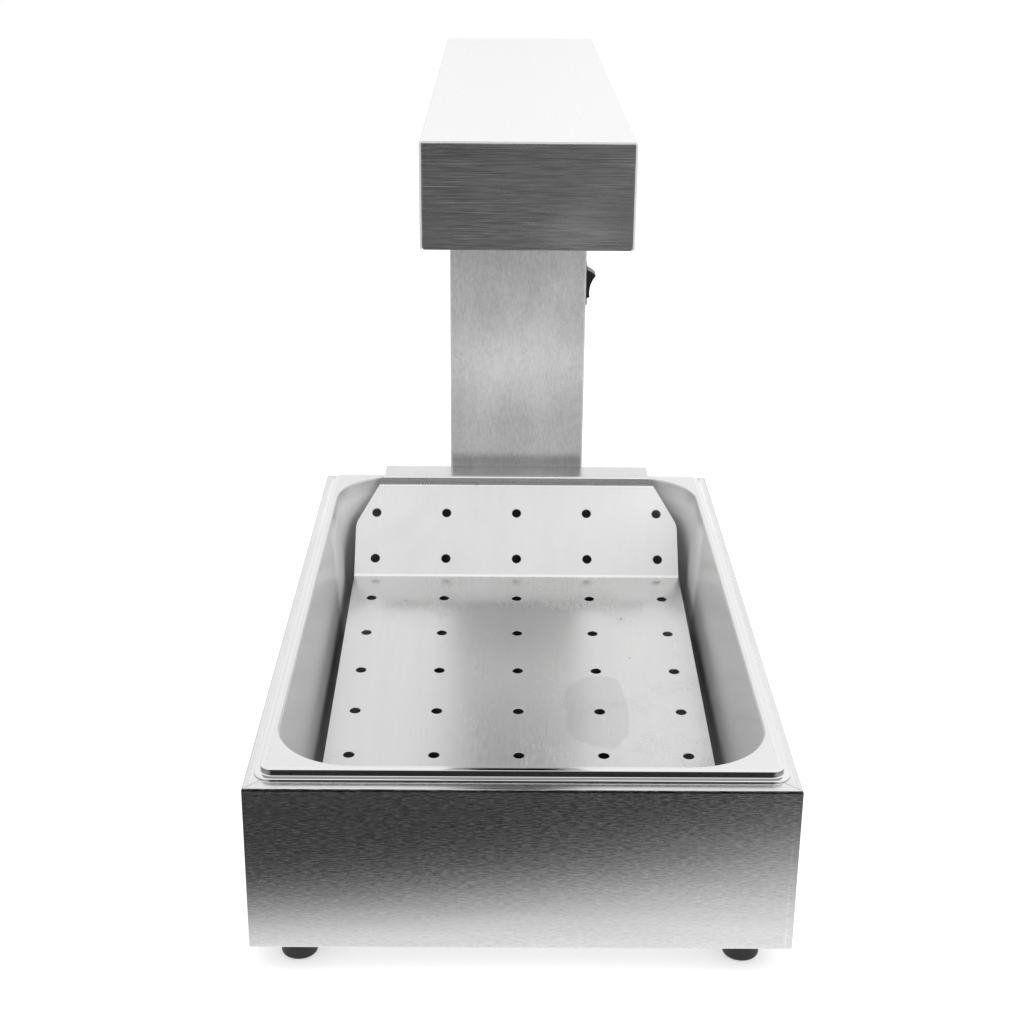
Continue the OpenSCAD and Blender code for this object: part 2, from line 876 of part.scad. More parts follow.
module column_channel() {
    color(steel)
        placed() {
            difference() {
                translate([0, 0, column_low])
                    linear_extrude(column_top - column_low)
                        channel_section();
                at_column_bolts()
                    rotate([-90, 0, 0])
                        translate([0, 0, -1])
                            cylinder(h = column_t + 2, d = m5 + 2 * screw_gap);
                at_return_screws(concat(cover_screws_z, cap_screws_z))
                    rotate([90, 0, 0])
                        translate([0, 0, -1])
                            cylinder(h = column_t + 2, d = m4 + 2 * eps);
                at_head_bolts()
                    rotate([0, 90, 0])
                        translate([0, 0, -column_t - 1])
                            cylinder(h = column_t + 2, d = m5 + 2 + 2 * screw_gap);
                translate([0, column_y + column_t / 2, window_z])
                    rotate([90, 0, 0])
                        translate([0, 0, -column_t])
                            linear_extrude(2 * column_t)
                                rounded_rect(window_w, window_h, 6);
                translate([switch_face, switch_y, switch_height])
                    cube([
                        4 * column_t, switch_body_w + 2 * switch_cut_gap,
                        switch_body_h + 2 * switch_cut_gap
                    ], center = true);
            }
            for (x = [-block_stud_x, block_stud_x])
                translate([x, column_y + column_t - eps, block_z])
                    rotate([-90, 0, 0])
                        cylinder(h = stud_l, d = m3);
            translate([earth_x, column_y + column_t - eps, earth_z])
                rotate([-90, 0, 0])
                    cylinder(h = earth_stud_l, d = m5);
        }
}

module column_rear_cover() {
    color(steel)
        placed()
            difference() {
                union() {
                    translate([0, cover_y, (cover_low + cover_top) / 2])
                        rotate([-90, 0, 0])
                            linear_extrude(cover_t)
                                rounded_rect(column_w, cover_top - cover_low, 0.8);
                    translate([-column_w / 2, column_y + 1, cover_low])
                        cube([column_w, column_d - 1 - cover_t / 2, cover_t]);
                }
                at_return_screws(cover_screws_z)
                    rotate([-90, 0, 0])
                        translate([0, 0, -1])
                            cylinder(h = cover_t + 2, d = m4 + 2 * screw_gap);
                translate([0, cover_y, base_low + entry_z])
                    rotate([-90, 0, 0])
                        translate([0, 0, -1])
                            cylinder(h = cover_t + 2, d = entry_bore_d + 4 + 2 * screw_gap);
            }
}

module column_cover_screws() {
    color(zinc)
        placed()
            at_return_screws(cover_screws_z)
                translate([0, cover_t, 0])
                    rotate([-90, 0, 0])
                        pan_screw(m4, cap_screw_l);
}

module column_bolts() {
    color(zinc)
        placed()
            at_column_bolts()
                translate([0, -base_t, 0])
                    rotate([90, 0, 0])
                        pan_screw(m5, base_t + column_t + 8);
}

module column_nuts() {
    color(zinc)
        placed()
            at_column_bolts()
                translate([0, column_t, 0])
                    rotate([-90, 0, 0])
                        hex_nut(m5);
}

// Cable gland: hexagon and shank, with a ribbed domed nut on the outside
module cable_gland() {
    shank_d = entry_bore_d + 4;
    hex_d = entry_bore_d + 12;
    rib_count = 12;
    shank_in = 9;
    color(black_plastic)
        placed()
            translate([0, column_back, base_low + entry_z])
                rotate([-90, 0, 0])
                    difference() {
                        union() {
                            translate([0, 0, -shank_in])
                                cylinder(h = shank_in + 1, d = shank_d);
                            cylinder(h = gland_hex_h, d = hex_d, $fn = 6);
                            translate([0, 0, gland_hex_h])
                                cylinder(h = gland_dome_h * 0.6, d = hex_d - 4);
                            translate([0, 0, gland_hex_h + gland_dome_h * 0.6])
                                cylinder(h = gland_dome_h * 0.4, d1 = hex_d - 4, d2 = hex_d - 8);
                            for (i = [0 : rib_count - 1])
                                rotate([0, 0, i * 360 / rib_count])
                                    translate([hex_d / 2 - 2.3, 0, gland_hex_h])
                                        cylinder(h = gland_dome_h * 0.55, d = 1.6, $fn = 16);
                        }
                        translate([0, 0, -shank_in - 1])
                            cylinder(h = shank_in + gland_hex_h + gland_dome_h + 2, d = entry_bore_d);
                    }
}

module gland_locknut() {
    color(black_plastic)
        placed()
            translate([0, cover_y, base_low + entry_z])
                rotate([90, 0, 0])
                    difference() {
                        cylinder(h = 4, d = entry_bore_d + 11, $fn = 6);
                        translate([0, 0, -1])
                            cylinder(h = 6, d = entry_bore_d + 4 + 2 * eps);
                    }
}

// Three-way terminal block on the column's two studs, with its screws let in
module terminal_block() {
    pole_pitch = 10;
    color(ceramic)
        placed()
            translate([0, column_y + column_t, block_z])
                difference() {
                    union() {
                        translate([-block_w / 2, 0, -block_h / 4])
                            cube([block_w, block_d * 0.5, block_h / 2]);
                        for (i = [-1, 0, 1])
                            translate([i * pole_pitch - 3.6, 0, -block_h / 2])
                                cube([7.2, block_d, block_h]);
                    }
                    for (i = [-1, 0, 1]) {
                        translate([i * pole_pitch, block_d * 0.6, -block_h])
                            cylinder(h = 2 * block_h, d = lead_d + 0.4);
                        for (z = [-1, 1])
                            translate([i * pole_pitch, block_d, z * block_h / 4])
                                rotate([90, 0, 0])
                                    cylinder(h = 3, d = 4);
                    }
                    for (x = [-block_stud_x, block_stud_x])
                        translate([x, -1, 0])
                            rotate([-90, 0, 0])
                                cylinder(h = block_d + 2, d = m3 + 2 * screw_gap);
                }
}

module terminal_block_nuts() {
    color(zinc)
        placed()
            for (x = [-block_stud_x, block_stud_x])
                translate([x, column_y + column_t + block_d + seat_gap, block_z])
                    rotate([-90, 0, 0])
                        hex_nut(m3);
}

module earth_nut() {
    color(brass)
        placed()
            translate([earth_x, column_y + column_t, earth_z])
                rotate([-90, 0, 0])
                    hex_nut(m5);
}

// One internal lead along its route
module lead(points, tint) {
    color(tint)
        placed()
            wire(points, lead_d);
}

module lead_supply() {
    lead(supply_lead, [0.45, 0.25, 0.12]);
}

module lead_switched() {
    lead(switched_lead, [0.12, 0.12, 0.12]);
}

module lead_neutral() {
    lead(neutral_lead, [0.15, 0.3, 0.65]);
}

module lead_earth() {
    lead(earth_lead, [0.45, 0.6, 0.15]);
}

// Switch

module switch_housing() {
    cavity = rocker_back * 2 + 1;
    color(black_plastic)
        placed()
            translate([switch_face, switch_y, switch_height])
                difference() {
                    union() {
                        rotate([0, 90, 0])
                            linear_extrude(bezel_t)
                                rounded_rect(bezel_h, bezel_w, 2);
                        translate([-switch_depth, -switch_body_w / 2, -switch_body_h / 2])
                            cube([switch_depth + eps, switch_body_w, switch_body_h]);
                        for (z = [-1, 1])
                            translate([-column_t - 5.2, -3, z * switch_body_h / 2 - 0.8])
                                cube([5, 6, 1.6]);
                    }
                    translate([-cavity, -rocker_w / 2 - rocker_gap, -well_h / 2])
                        cube([cavity + bezel_t + 1, rocker_w + 2 * rocker_gap, well_h]);
                    translate([pivot_x - switch_face, 0, 0])
                        rotate([90, 0, 0])
                            cylinder(h = switch_body_w + 1, d = pivot_d + 2 * pivot_gap, center = true);
                    for (z = [-blade_z, blade_z])
                        translate([-switch_depth - 1, -2.6, z - 0.5])
                            cube([5, 5.2, 1]);
                }
}

module switch_blades() {
    color(brass)
        placed()
            for (z = [-blade_z, blade_z])
                translate([blade_x, switch_y - 2.4, switch_height + z - 0.4])
                    cube([blade_l + 4, 4.8, 0.8]);
}

// Rocker at rest: its upper end stands out and its lower end is pressed in
module switch_rocker() {
    pin_l = rocker_w + 2 * (rocker_gap + switch_wall - 0.3);
    color([0.06, 0.06, 0.07])
        placed()
            translate([pivot_x, switch_y, switch_height])
                rotate([90, rocker_travel / 2, 0]) {
                    linear_extrude(rocker_w, center = true)
                        difference() {
                            circle(rocker_r);
                            translate([-rocker_r - 1 - rocker_back, -rocker_r - 1])
                                square([rocker_r + 1, 2 * rocker_r + 2]);
                            translate([tip_x - rocker_hollow + hollow_r, 0])
                                circle(hollow_r, $fn = 96);
                        }
                    cylinder(h = pin_l, d = pivot_d, center = true);
                }
}

// Head

// Section of the head across its length: top, sides and the flanges turned in below
module head_section(flange) {
    inner = head_w - 2 * (head_t + flange);
    translate([0, head_h / 2])
        difference() {
            rounded_ring(head_w, head_h, head_r, head_t);
            translate([-inner / 2, -head_h / 2 - 1])
                square([inner, head_t + 2]);
        }
}

// Places of the guard clips and of the screws through them, under the head's flanges
module at_guard_clips() {
    both_sides()
        for (y = clip_ys)
            translate([clip_x, y, head_z])
                children();
}

module head_shell() {
    color(steel)
        placed()
            difference() {
                translate([0, column_back, head_z])
                    rotate([90, 0, 0])
                        linear_extrude(head_l)
                            head_section(head_flange_w);
                translate([-head_in, column_y - 2, head_z - 1])
                    cube([2 * head_in, column_d + 3, head_r + 1]);
                translate([-head_in, head_front - 1, head_z - 1])
                    cube([2 * head_in, cap_flange + cap_recess + 2, head_r + 1]);
                at_head_bolts()
                    rotate([0, 90, 0])
                        cylinder(h = 10, d = m5 + 2 * screw_gap);
                at_guard_clips()
                    translate([0, 0, -1])
                        cylinder(h = head_t + 2, d = m3 + 2 * screw_gap);
            }
}

// Tray-shaped front panel set between the shell's edges
module head_front_cap() {
    w = 2 * head_in - 2 * seat_gap;
    h = head_h - head_t - seat_gap;
    color(steel)
        placed()
            translate([0, head_front + cap_recess, head_z])
                difference() {
                    rotate([-90, 0, 0])
                        translate([0, -h / 2, 0])
                            linear_extrude(cap_flange)
                                rounded_rect(w, h, 1.4);
                    translate([0, head_t, 0])
                        rotate([-90, 0, 0])
                            translate([0, -h / 2, 0])
                                linear_extrude(cap_flange)
                                    rounded_rect(w - 2 * head_t, h - 2 * head_t, 0.6);
                }
}

module head_rear_cap() {
    w = 2 * head_in - 2 * seat_gap;
    h = head_h - head_t - seat_gap;
    color(steel)
        placed()
            difference() {
                translate([0, cover_y, head_z + h / 2])
                    rotate([-90, 0, 0])
                        linear_extrude(cover_t)
                            rounded_rect(w, h, 1.4);
                at_return_screws(cap_screws_z)
                    rotate([-90, 0, 0])
                        translate([0, 0, -1])
                            cylinder(h = cover_t + 2, d = m4 + 2 * screw_gap);
            }
}

module head_cap_screws() {
    color(zinc)
        placed()
            at_return_screws(cap_screws_z)
                translate([0, cover_t, 0])
                    rotate([-90, 0, 0])
                        pan_screw(m4, cap_screw_l);
}

// Rivet nuts in the column's sides, their flanges filling the gap to the head
module head_rivet_nuts() {
    color(zinc)
        placed()
            at_head_bolts()
                rotate([0, 90, 0])
                    difference() {
                        union() {
                            cylinder(h = head_side_gap, d = m5 + 5);
                            translate([0, 0, -9])
                                cylinder(h = 9 + eps, d = m5 + 2);
                        }
                        translate([0, 0, -10])
                            cylinder(h = 20, d = m5 + 2 * eps);
                    }
}

module head_fixing_screws() {
    color(zinc)
        placed()
            at_head_bolts()
                translate([head_side_gap + head_t, 0, 0])
                    rotate([0, 90, 0])
                        pan_screw(m5, 10);
}

// Heater

// Outline of the reflector's trough above its flanges, a skin smaller all round
module trough(skin) {
    rise = reflector_h - skin;
    half_top = reflector_top_w / 2 - skin;
    half_foot = mouth_x - skin;
    polygon([[-half_foot, 0], [half_foot, 0], [half_top, rise], [-half_top, rise]]);
}

module reflector() {
    l = reflector_y1 - reflector_y0;
    color(mirror_steel)
        placed()
            difference() {
                translate([0, reflector_y1, reflector_z])
                    rotate([90, 0, 0]) {
                        linear_extrude(l)
                            difference() {
                                union() {
                                    trough(0);
                                    translate([-reflector_flange_x, 0])
                                        square([2 * reflector_flange_x, reflector_t]);
                                }
                                trough(reflector_t);
                                translate([reflector_t - mouth_x, -1])
                                    square([2 * (mouth_x - reflector_t), 1 + eps]);
                            }
                        for (z = [0, l - reflector_t])
                            translate([0, 0, z])
                                linear_extrude(reflector_t)
                                    trough(reflector_t / 2);
                    }
                for (x = [-element_x, element_x])
                    translate([x, reflector_y1 + 1, element_height])
                        rotate([90, 0, 0])
                            cylinder(h = reflector_t + 2, d = element_d + 2 * rod_gap);
                at_guard_clips()
                    cylinder(h = 2 * head_t + 2, d = m3 + 2 * screw_gap);
                for (y = bracket_ys)
                    translate([0, y + bracket_tab / 2, reflector_top - 2])
                        cylinder(h = 4, d = m4 + 2 * screw_gap);
            }
}

// Sheathed hairpin element: two legs and a round bend at the front
module heating_element() {
    color(dark_sheath)
        placed()
            translate([0, 0, element_height]) {
                for (x = [-element_x, element_x])
                    translate([x, element_end_y, 0])
                        rotate([90, 0, 0])
                            cylinder(h = element_end_y - element_bend_y, d = element_d, $fn = 48);
                translate([0, element_bend_y, 0])
                    rotate([0, 0, 180])
                        rotate_extrude(angle = 180)
                            translate([element_x, 0])
                                circle(d = element_d, $fn = 48);
            }
}

module element_insulators() {
    color(ceramic)
        placed()
            for (x = [-element_x, element_x])
                translate([x, element_end_y, element_height])
                    rotate([-90, 0, 0])
                        difference() {
                            union() {
                                cylinder(h = insulator_l, d = element_d - 1);
                                cylinder(h = insulator_l / 2, d = element_d + 2);
                            }
                            translate([0, 0, -1])
                                cylinder(h = insulator_l + 2, d = lead_d + 2 * eps);
                        }
}

module element_terminals() {
    color(brass)
        placed()
            for (x = [-element_x, element_x])
                translate([x, element_end_y, element_height])
                    rotate([-90, 0, 0]) {
                        cylinder(h = insulator_l + terminal_l, d = lead_d);
                        translate([0, 0, insulator_l])
                            cylinder(h = 3, d = 2 * lead_d, $fn = 6);
                    }
}

// Hangers that carry the element under the reflector's top
module element_brackets() {
    top = reflector_top - reflector_t;
    foot = element_height - element_d / 2 - 3;
    color(steel)
        placed()
            for (y = bracket_ys)
                difference() {
                    union() {
                        translate([-bracket_w / 2, y, foot])
                            cube([bracket_w, 1, element_height + element_d / 2 + 3 - foot]);
                        translate([-bracket_foot_w / 2, y, foot])
                            cube([bracket_foot_w, 1, top - foot]);
                        translate([-bracket_foot_w / 2, y, top - 1])
                            cube([bracket_foot_w, bracket_tab, 1]);
                    }
                    for (x = [-element_x, element_x])
                        translate([x, y + 2, element_height])
                            rotate([90, 0, 0])
                                cylinder(h = 3, d = element_d + 2 * seat_gap);
                    translate([0, y + bracket_tab / 2, top - 3])
                        cylinder(h = 6, d = m4 + 2 * screw_gap);
                }
}

module bracket_screws() {
    color(zinc)
        placed()
            for (y = bracket_ys)
                translate([0, y + bracket_tab / 2, reflector_top - reflector_t - 1])
                    rotate([180, 0, 0])
                        pan_screw(m4, reflector_t + 6);
}

module bracket_nuts() {
    color(zinc)
        placed()
            for (y = bracket_ys)
                translate([0, y + bracket_tab / 2, reflector_top])
                    hex_nut(m4);
}

// Welded wire guard: two rails, end wires and evenly spaced cross wires
module wire_guard() {
    cross_z = guard_z + (guard_rail_d + guard_wire_d) / 2 - 0.4;
    color(mirror_steel)
        placed() {
            for (x = [-guard_x, guard_x])
                translate([x, guard_y1, guard_z])
                    rotate([90, 0, 0])
                        cylinder(h = guard_y1 - guard_y0, d = guard_rail_d, $fn = 24);
            for (i = [0 : guard_count - 1])
                translate([0, guard_start + i * guard_pitch, cross_z])
                    rotate([0, 90, 0])
                        cylinder(h = 2 * guard_x + 1, d = guard_wire_d, center = true, $fn = 24);
        }
}

module guard_clips() {
    inner = guard_x - guard_rail_d / 2 - 1;
    color(zinc)
        placed()
            difference() {
                both_sides()
                    for (y = clip_ys)
                        translate([inner, y - clip_w / 2, head_z - clip_t])
                            cube([head_in - 1.5 - inner, clip_w, clip_t]);
                at_guard_clips()
                    translate([0, 0, -3])
                        cylinder(h = 6, d = m3 + 2 * screw_gap);
            }
}

module guard_screws() {
    color(zinc)
        placed()
            at_guard_clips()
                translate([0, 0, -clip_t])
                    rotate([180, 0, 0])
                        pan_screw(m3, clip_t + head_t + reflector_t + 4);
}

module guard_nuts() {
    color(zinc)
        placed()
            at_guard_clips()
                translate([0, 0, head_t + reflector_t])
                    hex_nut(m3);
}

base_shell();
base_bottom_plate();
bottom_plate_screws();
foot_front_left();
foot_front_right();
foot_rear_left();
foot_rear_right();
foot_screws();
foot_nuts();
food_pan();
drain_insert();
column_channel();
column_rear_cover();
column_cover_screws();
column_bolts();
column_nuts();
cable_gland();
gland_locknut();
terminal_block();
terminal_block_nuts();
earth_nut();
lead_supply();
lead_switched();
lead_neutral();
lead_earth();
switch_housing();
switch_blades();
switch_rocker();
head_shell();
head_front_cap();
head_rear_cap();
head_cap_screws();
head_rivet_nuts();
head_fixing_screws();
reflector();
heating_element();
element_insulators();
element_terminals();
element_brackets();
bracket_screws();
bracket_nuts();
wire_guard();
guard_clips();
guard_screws();
guard_nuts();
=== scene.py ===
"""Looks of a countertop fry warmer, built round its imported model.

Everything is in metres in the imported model's own frame: +Z up, the front faces -Y,
and the origin lies on the ground under the middle of the object.
"""

import json
import logging
import math
from dataclasses import dataclass, field
from enum import Enum
from typing import Callable, Dict, Iterable, List, Optional, Sequence, Tuple

import bmesh
import bpy
from mathutils import Matrix, Vector


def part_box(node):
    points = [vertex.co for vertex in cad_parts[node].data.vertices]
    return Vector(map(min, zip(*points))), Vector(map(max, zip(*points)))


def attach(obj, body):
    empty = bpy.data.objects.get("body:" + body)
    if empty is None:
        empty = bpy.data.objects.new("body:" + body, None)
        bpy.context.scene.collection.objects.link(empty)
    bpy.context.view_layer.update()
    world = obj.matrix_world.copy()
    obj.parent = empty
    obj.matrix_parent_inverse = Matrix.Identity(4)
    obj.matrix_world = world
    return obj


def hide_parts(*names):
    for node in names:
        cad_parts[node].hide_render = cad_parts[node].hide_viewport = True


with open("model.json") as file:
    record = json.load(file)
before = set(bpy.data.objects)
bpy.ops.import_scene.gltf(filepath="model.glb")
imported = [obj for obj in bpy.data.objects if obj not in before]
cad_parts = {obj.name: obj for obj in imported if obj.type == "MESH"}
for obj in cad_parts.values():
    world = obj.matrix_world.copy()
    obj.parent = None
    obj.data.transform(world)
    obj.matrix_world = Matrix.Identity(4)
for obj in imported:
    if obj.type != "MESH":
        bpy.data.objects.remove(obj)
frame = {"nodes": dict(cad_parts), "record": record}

LOG = logging.getLogger("fry_warmer")
MM = 0.001
M3, M4, M5 = 3 * MM, 4 * MM, 5 * MM

Point = Tuple[float, float, float]
Point2 = Tuple[float, float]
Rgb = Tuple[float, float, float]

ORIGIN = (0.0, 0.0, 0.0)
ONES = (1.0, 1.0, 1.0)


class Grain(Enum):
    """Direction in which a sheet was brushed, as a stretch of the pattern along X, Y and Z."""

    ACROSS = (180.0, 1500.0, 1500.0)
    FORWARD = (1500.0, 250.0, 1500.0)
    UPRIGHT = (800.0, 800.0, 230.0)
    LEANING = (1200.0, 110.0, 110.0)
    LONG_ACROSS = (36.0, 2000.0, 2000.0)
    LONG_FORWARD = (2000.0, 36.0, 2000.0)
    NONE = (500.0, 500.0, 500.0)


class Axis(Enum):
    """Direction in which a fastener's head points."""

    UP = (0.0, 0.0, 1.0)
    DOWN = (0.0, 0.0, -1.0)
    FRONT = (0.0, -1.0, 0.0)
    BACK = (0.0, 1.0, 0.0)
    OUTWARD = (1.0, 0.0, 0.0)


# The base's top flange, whose sides are brushed along their length
FLANGE_Z = 129.7 * MM
FLANGE_WIDTH = 7.5 * MM

# The least share of its tone that a shaded spot keeps
DARKEST = 0.04

# The attributes that mark the inner side of a sheet and where a fastener's head faces
INSIDE = "inside"
FACING = "facing"

# How near points of a CAD mesh are one, how short an edge is nothing, and how flat a fold is none
WELD = 2e-6
SLIVER = 1e-6
FLAT_DEG = 0.3

# Sides of the guard's rods and of the balls that fasteners are cut from, and how far these may be spun
ROD_SIDES = 16
BALL_SIDES = 48
FULL_TURN = 6.283

# Where the camera stands, which is dark in reflections, and where the lamps are aimed
TOWARD_CAMERA = (0.0, -0.87, 0.49)
LAMPS_AIM = Vector((0.0, 0.0, 0.2))

# Across the marks, where a brushed sheet spreads its reflections
SPREAD = {
    Grain.ACROSS: (0.02, 0.2, 1.0),
    Grain.FORWARD: (1.0, 0.02, 0.2),
    Grain.UPRIGHT: (1.0, 0.2, 0.02),
    Grain.LEANING: (1.0, 0.05, 0.05),
    Grain.LONG_ACROSS: (0.02, 0.2, 1.0),
    Grain.LONG_FORWARD: (1.0, 0.02, 0.2),
}


# Node trees


class Graph:
    """Short calls that add and join nodes in one node tree."""

    def __init__(self, tree: bpy.types.NodeTree) -> None:
        """Keeps the tree that the calls work on."""
        self.tree = tree

    def add(self, kind: str, inputs: Optional[Dict] = None, **settings: object) -> bpy.types.Node:
        """Adds a node.

        Args:
            kind: the node's type, as Blender names it.
            inputs: a value or a socket for each input, by name or by number.
            settings: properties set on the node.

        Returns:
            The new node.
        """
        node = self.tree.nodes.new(kind)
        for key, value in settings.items():
            setattr(node, key, value)
        for key, value in (inputs or {}).items():
            self.feed(node.inputs[key], value)
        return node

    def feed(self, socket: bpy.types.NodeSocket, value: object) -> None:
        """Joins a socket to another, or sets its value.

        Args:
            socket: the input.
            value: a socket to join to it, or its new value.
        """
        if isinstance(value, bpy.types.NodeSocket):
            self.tree.links.new(value, socket)
        else:
            socket.default_value = value

    def math(self, operation: str, first: object, second: object = 0.0, clamp: bool = False) -> object:
        """Adds a Math node and returns its output."""
        made = self.add("ShaderNodeMath", {0: first, 1: second}, operation=operation, use_clamp=clamp)
        return made.outputs[0]

    def _chain(self, operation: str, terms: Sequence[object]) -> object:
        """Puts terms together two by two, from the left, and returns the last output.

        Args:
            operation: the Math nodes' operation.
            terms: numbers or sockets.

        Returns:
            The last node's output.
        """
        total = terms[0]
        for term in terms[1:]:
            total = self.math(operation, total, term)
        return total

    def plus(self, *terms: object) -> object:
        """Adds up two or more numbers or sockets."""
        return self._chain("ADD", terms)

    def minus(self, first: object, second: object) -> object:
        """Takes the second number or socket from the first."""
        return self.math("SUBTRACT", first, second)

    def times(self, *terms: object) -> object:
        """Multiplies two or more numbers or sockets."""
        return self._chain("MULTIPLY", terms)

    def highest(self, *terms: object) -> object:
        """The greatest of two or more numbers or sockets."""
        return self._chain("MAXIMUM", terms)

    def lowest(self, *terms: object) -> object:
        """The least of two or more numbers or sockets."""
        return self._chain("MINIMUM", terms)

    def rest(self, share: object) -> object:
        """What a share leaves of 1."""
        return self.minus(1.0, share)

    def unsigned(self, value: object) -> object:
        """A number without its sign."""
        return self.math("ABSOLUTE", value)

    def vector(self, operation: str, first: object, second: object = ORIGIN) -> object:
        """Adds a Vector Math node and returns its output."""
        return self.add("ShaderNodeVectorMath", {0: first, 1: second}, operation=operation).outputs[0]

    def scaled(self, vector: object, factor: object) -> object:
        """Multiplies a vector or a colour by a number."""
        made = self.add("ShaderNodeVectorMath", {0: vector, "Scale": factor}, operation="SCALE")
        return made.outputs[0]

    def parts(self, vector: object) -> bpy.types.NodeOutputs:
        """The outputs X, Y and Z of a vector."""
        return self.add("ShaderNodeSeparateXYZ", {0: vector}).outputs

    def joined(self, x: object = 0.0, y: object = 0.0, z: object = 0.0) -> object:
        """The vector of three numbers or sockets."""
        return self.add("ShaderNodeCombineXYZ", {0: x, 1: y, 2: z}).outputs[0]

    def noise(self, vector: object, scale: object, detail: float, rough: float = 0.5,
              distortion: float = 0.0) -> object:
        """Adds a noise texture and returns its factor."""
        made = self.add("ShaderNodeTexNoise", {"Vector": vector, "Scale": scale, "Detail": detail,
                                               "Roughness": rough, "Distortion": distortion})
        return made.outputs["Fac"]

    def ramp(self, value: object, low: object, high: object) -> object:
        """Maps a value's stretch from low to high onto 0 to 1, smoothly."""
        made = self.add("ShaderNodeMapRange", {"Value": value, "From Min": low, "From Max": high},
                        interpolation_type="SMOOTHSTEP")
        return made.outputs[0]

    def blend(self, factor: object, first: object, second: object) -> object:
        """Mixes two colours and returns the result.

        Args:
            factor: the second colour's share.
            first: a colour or a socket.
            second: a colour or a socket.

        Returns:
            The socket with the mixed colour.
        """
        made = self.add("ShaderNodeMix", {0: factor}, data_type="RGBA")
        colours = [s for s in made.inputs if s.type == "RGBA"]
        self.feed(colours[0], first)
        self.feed(colours[1], second)
        return [s for s in made.outputs if s.type == "RGBA"][0]


def socket(tree: bpy.types.NodeTree, name: str, kind: str, value: object = None,
           out: bool = False) -> object:
    """Adds a named socket to a node group's interface.

    Args:
        tree: the node group.
        name: the socket's name.
        kind: the last part of Blender's name for the socket's type, such as Float.
        value: the default value, for an input.
        out: True for an output.

    Returns:
        The interface's socket.
    """
    made = tree.interface.new_socket(
        name=name, in_out="OUTPUT" if out else "INPUT", socket_type=f"NodeSocket{kind}"
    )
    if value is not None:
        made.default_value = value
    return made


def shader_group(name: str, inputs: Dict[str, object],
                 outputs: Sequence[str]) -> Tuple[Graph, bpy.types.NodeOutputs, bpy.types.NodeInputs]:
    """Starts a shader node group.

    Args:
        name: the group's name.
        inputs: each input's name with its default, a number or a vector.
        outputs: the names of the outputs, all of them numbers.

    Returns:
        The group's graph, the sockets that read the inputs and the sockets that take the outputs.
    """
    g = Graph(bpy.data.node_groups.new(name, "ShaderNodeTree"))
    for key, value in inputs.items():
        socket(g.tree, key, "Vector" if isinstance(value, tuple) else "Float", value)
    for key in outputs:
        socket(g.tree, key, "Float", out=True)
    return g, g.add("NodeGroupInput").outputs, g.add("NodeGroupOutput").inputs


